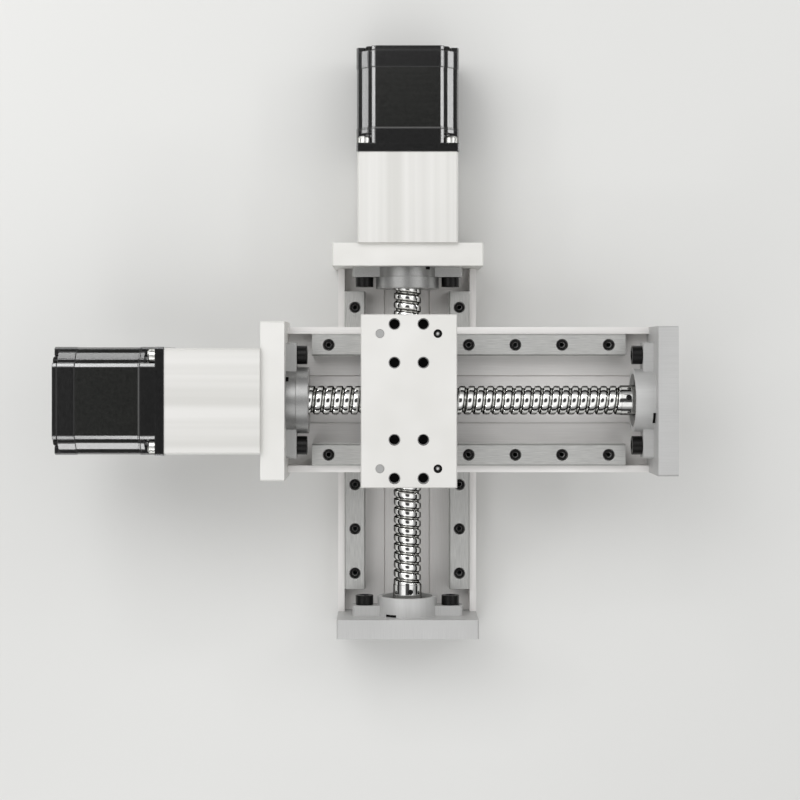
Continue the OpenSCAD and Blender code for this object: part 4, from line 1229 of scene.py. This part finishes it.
# %% Floor
def floor_piece():
    """A wide plain floor at the foot of the lower channel."""
    half = 8.0
    corners = [(-half, -half, 0), (half, -half, 0), (half, half, 0), (-half, half, 0)]
    mesh = bpy.data.meshes.new("floor")
    mesh.from_pydata(corners, [], [(0, 1, 2, 3)])
    floor = bpy.data.objects.new("floor", mesh)
    bpy.context.scene.collection.objects.link(floor)
    material, tree = blank_material("pale_floor")
    cloud = grain(tree, 3, detail=1)
    tint = add(tree, "ShaderNodeValToRGB", {"Fac": cloud}, stops=[(0.3, "#DCDCDA"), (0.7, "#E0E0DE")])
    shader = add(tree, "ShaderNodeBsdfPrincipled", {"Base Color": tint, "Roughness": 0.8})
    add(tree, "ShaderNodeOutputMaterial", {"Surface": shader})
    dress(floor, material)
    floor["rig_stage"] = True
    print("floor is", 2 * half, "m wide")


floor_piece()

# %% Sky and lamps
# heights are the sine of the angle above the floor
TENT = [
    (0.0, "#0E0E0E"), (0.22, "#161616"), (0.34, "#787878"), (0.58, "#A8A8A8"), (0.7, "#F4F4F4"),
    (0.94, "#FFFFFF"), (0.97, "#4A4A4A"), (1.0, "#404040"),
]


def sky():
    """A tent of light, painted by height: dark low down, white half way up and grey round the top."""
    world = bpy.data.worlds.new("studio")
    bpy.context.scene.world = world
    world.use_nodes = True
    tree = world.node_tree
    tree.nodes.clear()
    way = add(tree, "ShaderNodeTexCoord").outputs["Generated"]
    height = add(tree, "ShaderNodeSeparateXYZ", {"Vector": way}).outputs["Z"]
    tent = add(tree, "ShaderNodeValToRGB", {"Fac": height}, stops=TENT)
    light = add(tree, "ShaderNodeBackground", {"Color": tent, "Strength": 1.33})
    add(tree, "ShaderNodeOutputWorld", {"Surface": light})


def lamp(name, place, towards, size, glow):
    """A soft rectangular lamp that looks at a point; glow is its brightness, 1 being white paper."""
    data = bpy.data.lights.new(name, "AREA")
    data.shape = "RECTANGLE"
    data.size, data.size_y = size
    data.energy = glow * math.pi * size[0] * size[1]
    made = bpy.data.objects.new(name, data)
    made.location = place
    made.rotation_mode = "QUATERNION"
    made.rotation_quaternion = (Vector(towards) - Vector(place)).to_track_quat("-Z", "Y")
    bpy.context.scene.collection.objects.link(made)


def motor_strips(side):
    """Two low and two high strips beside a motor, a little further from the stage than the motor is."""
    motor = middle(f"{side}_motor_stator")
    away = Vector((-0.16, 0, 0)) if side == "upper" else Vector((0, 0.16, 0))
    beside = Vector((0, 0.6, 0)) if side == "upper" else Vector((0.6, 0, 0))
    for way in (-1, 1):
        place = motor + away + way * beside
        lamp(f"{side}_low_strip_{way}", place - Vector((0, 0, 0.003)), motor, (0.34, 0.05), 6)
        lamp(f"{side}_high_strip_{way}", place + Vector((0, 0, 0.565)), motor, (0.3, 0.05), 9)


sky()
for side in SIDES:
    motor_strips(side)
lamp("key", (-0.45, 0.75, 1.35), (0, 0, 0.05), (0.8, 0.8), 1.8)
print("sky and", len(bpy.data.lights), "lamps ready")


# %% Camera
def camera():
    """Straight down from 1.1 m, shifted a little so that both arms of the stage fit."""
    data = bpy.data.cameras.new("camera")
    data.sensor_width = 36
    data.lens = 86.04
    data.shift_x = 0.0155
    data.shift_y = -0.051
    made = bpy.data.objects.new("camera", data)
    made.location = (-11.05 * MM, 45.75 * MM, 1100 * MM)
    bpy.context.scene.collection.objects.link(made)
    bpy.context.scene.camera = made
    print("camera stands", round(made.location.z, 2), "m up")


camera()
bpy.context.scene.view_settings.view_transform = "Standard"

# %% Measure the dressed stage beside the frame's box
low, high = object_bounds()
sizes = {"cad": [list(cad_low), list(cad_high)], "visual": [list(low), list(high)]}
print("dressed stage measures", [round(v / MM, 1) for v in high - low], "mm")
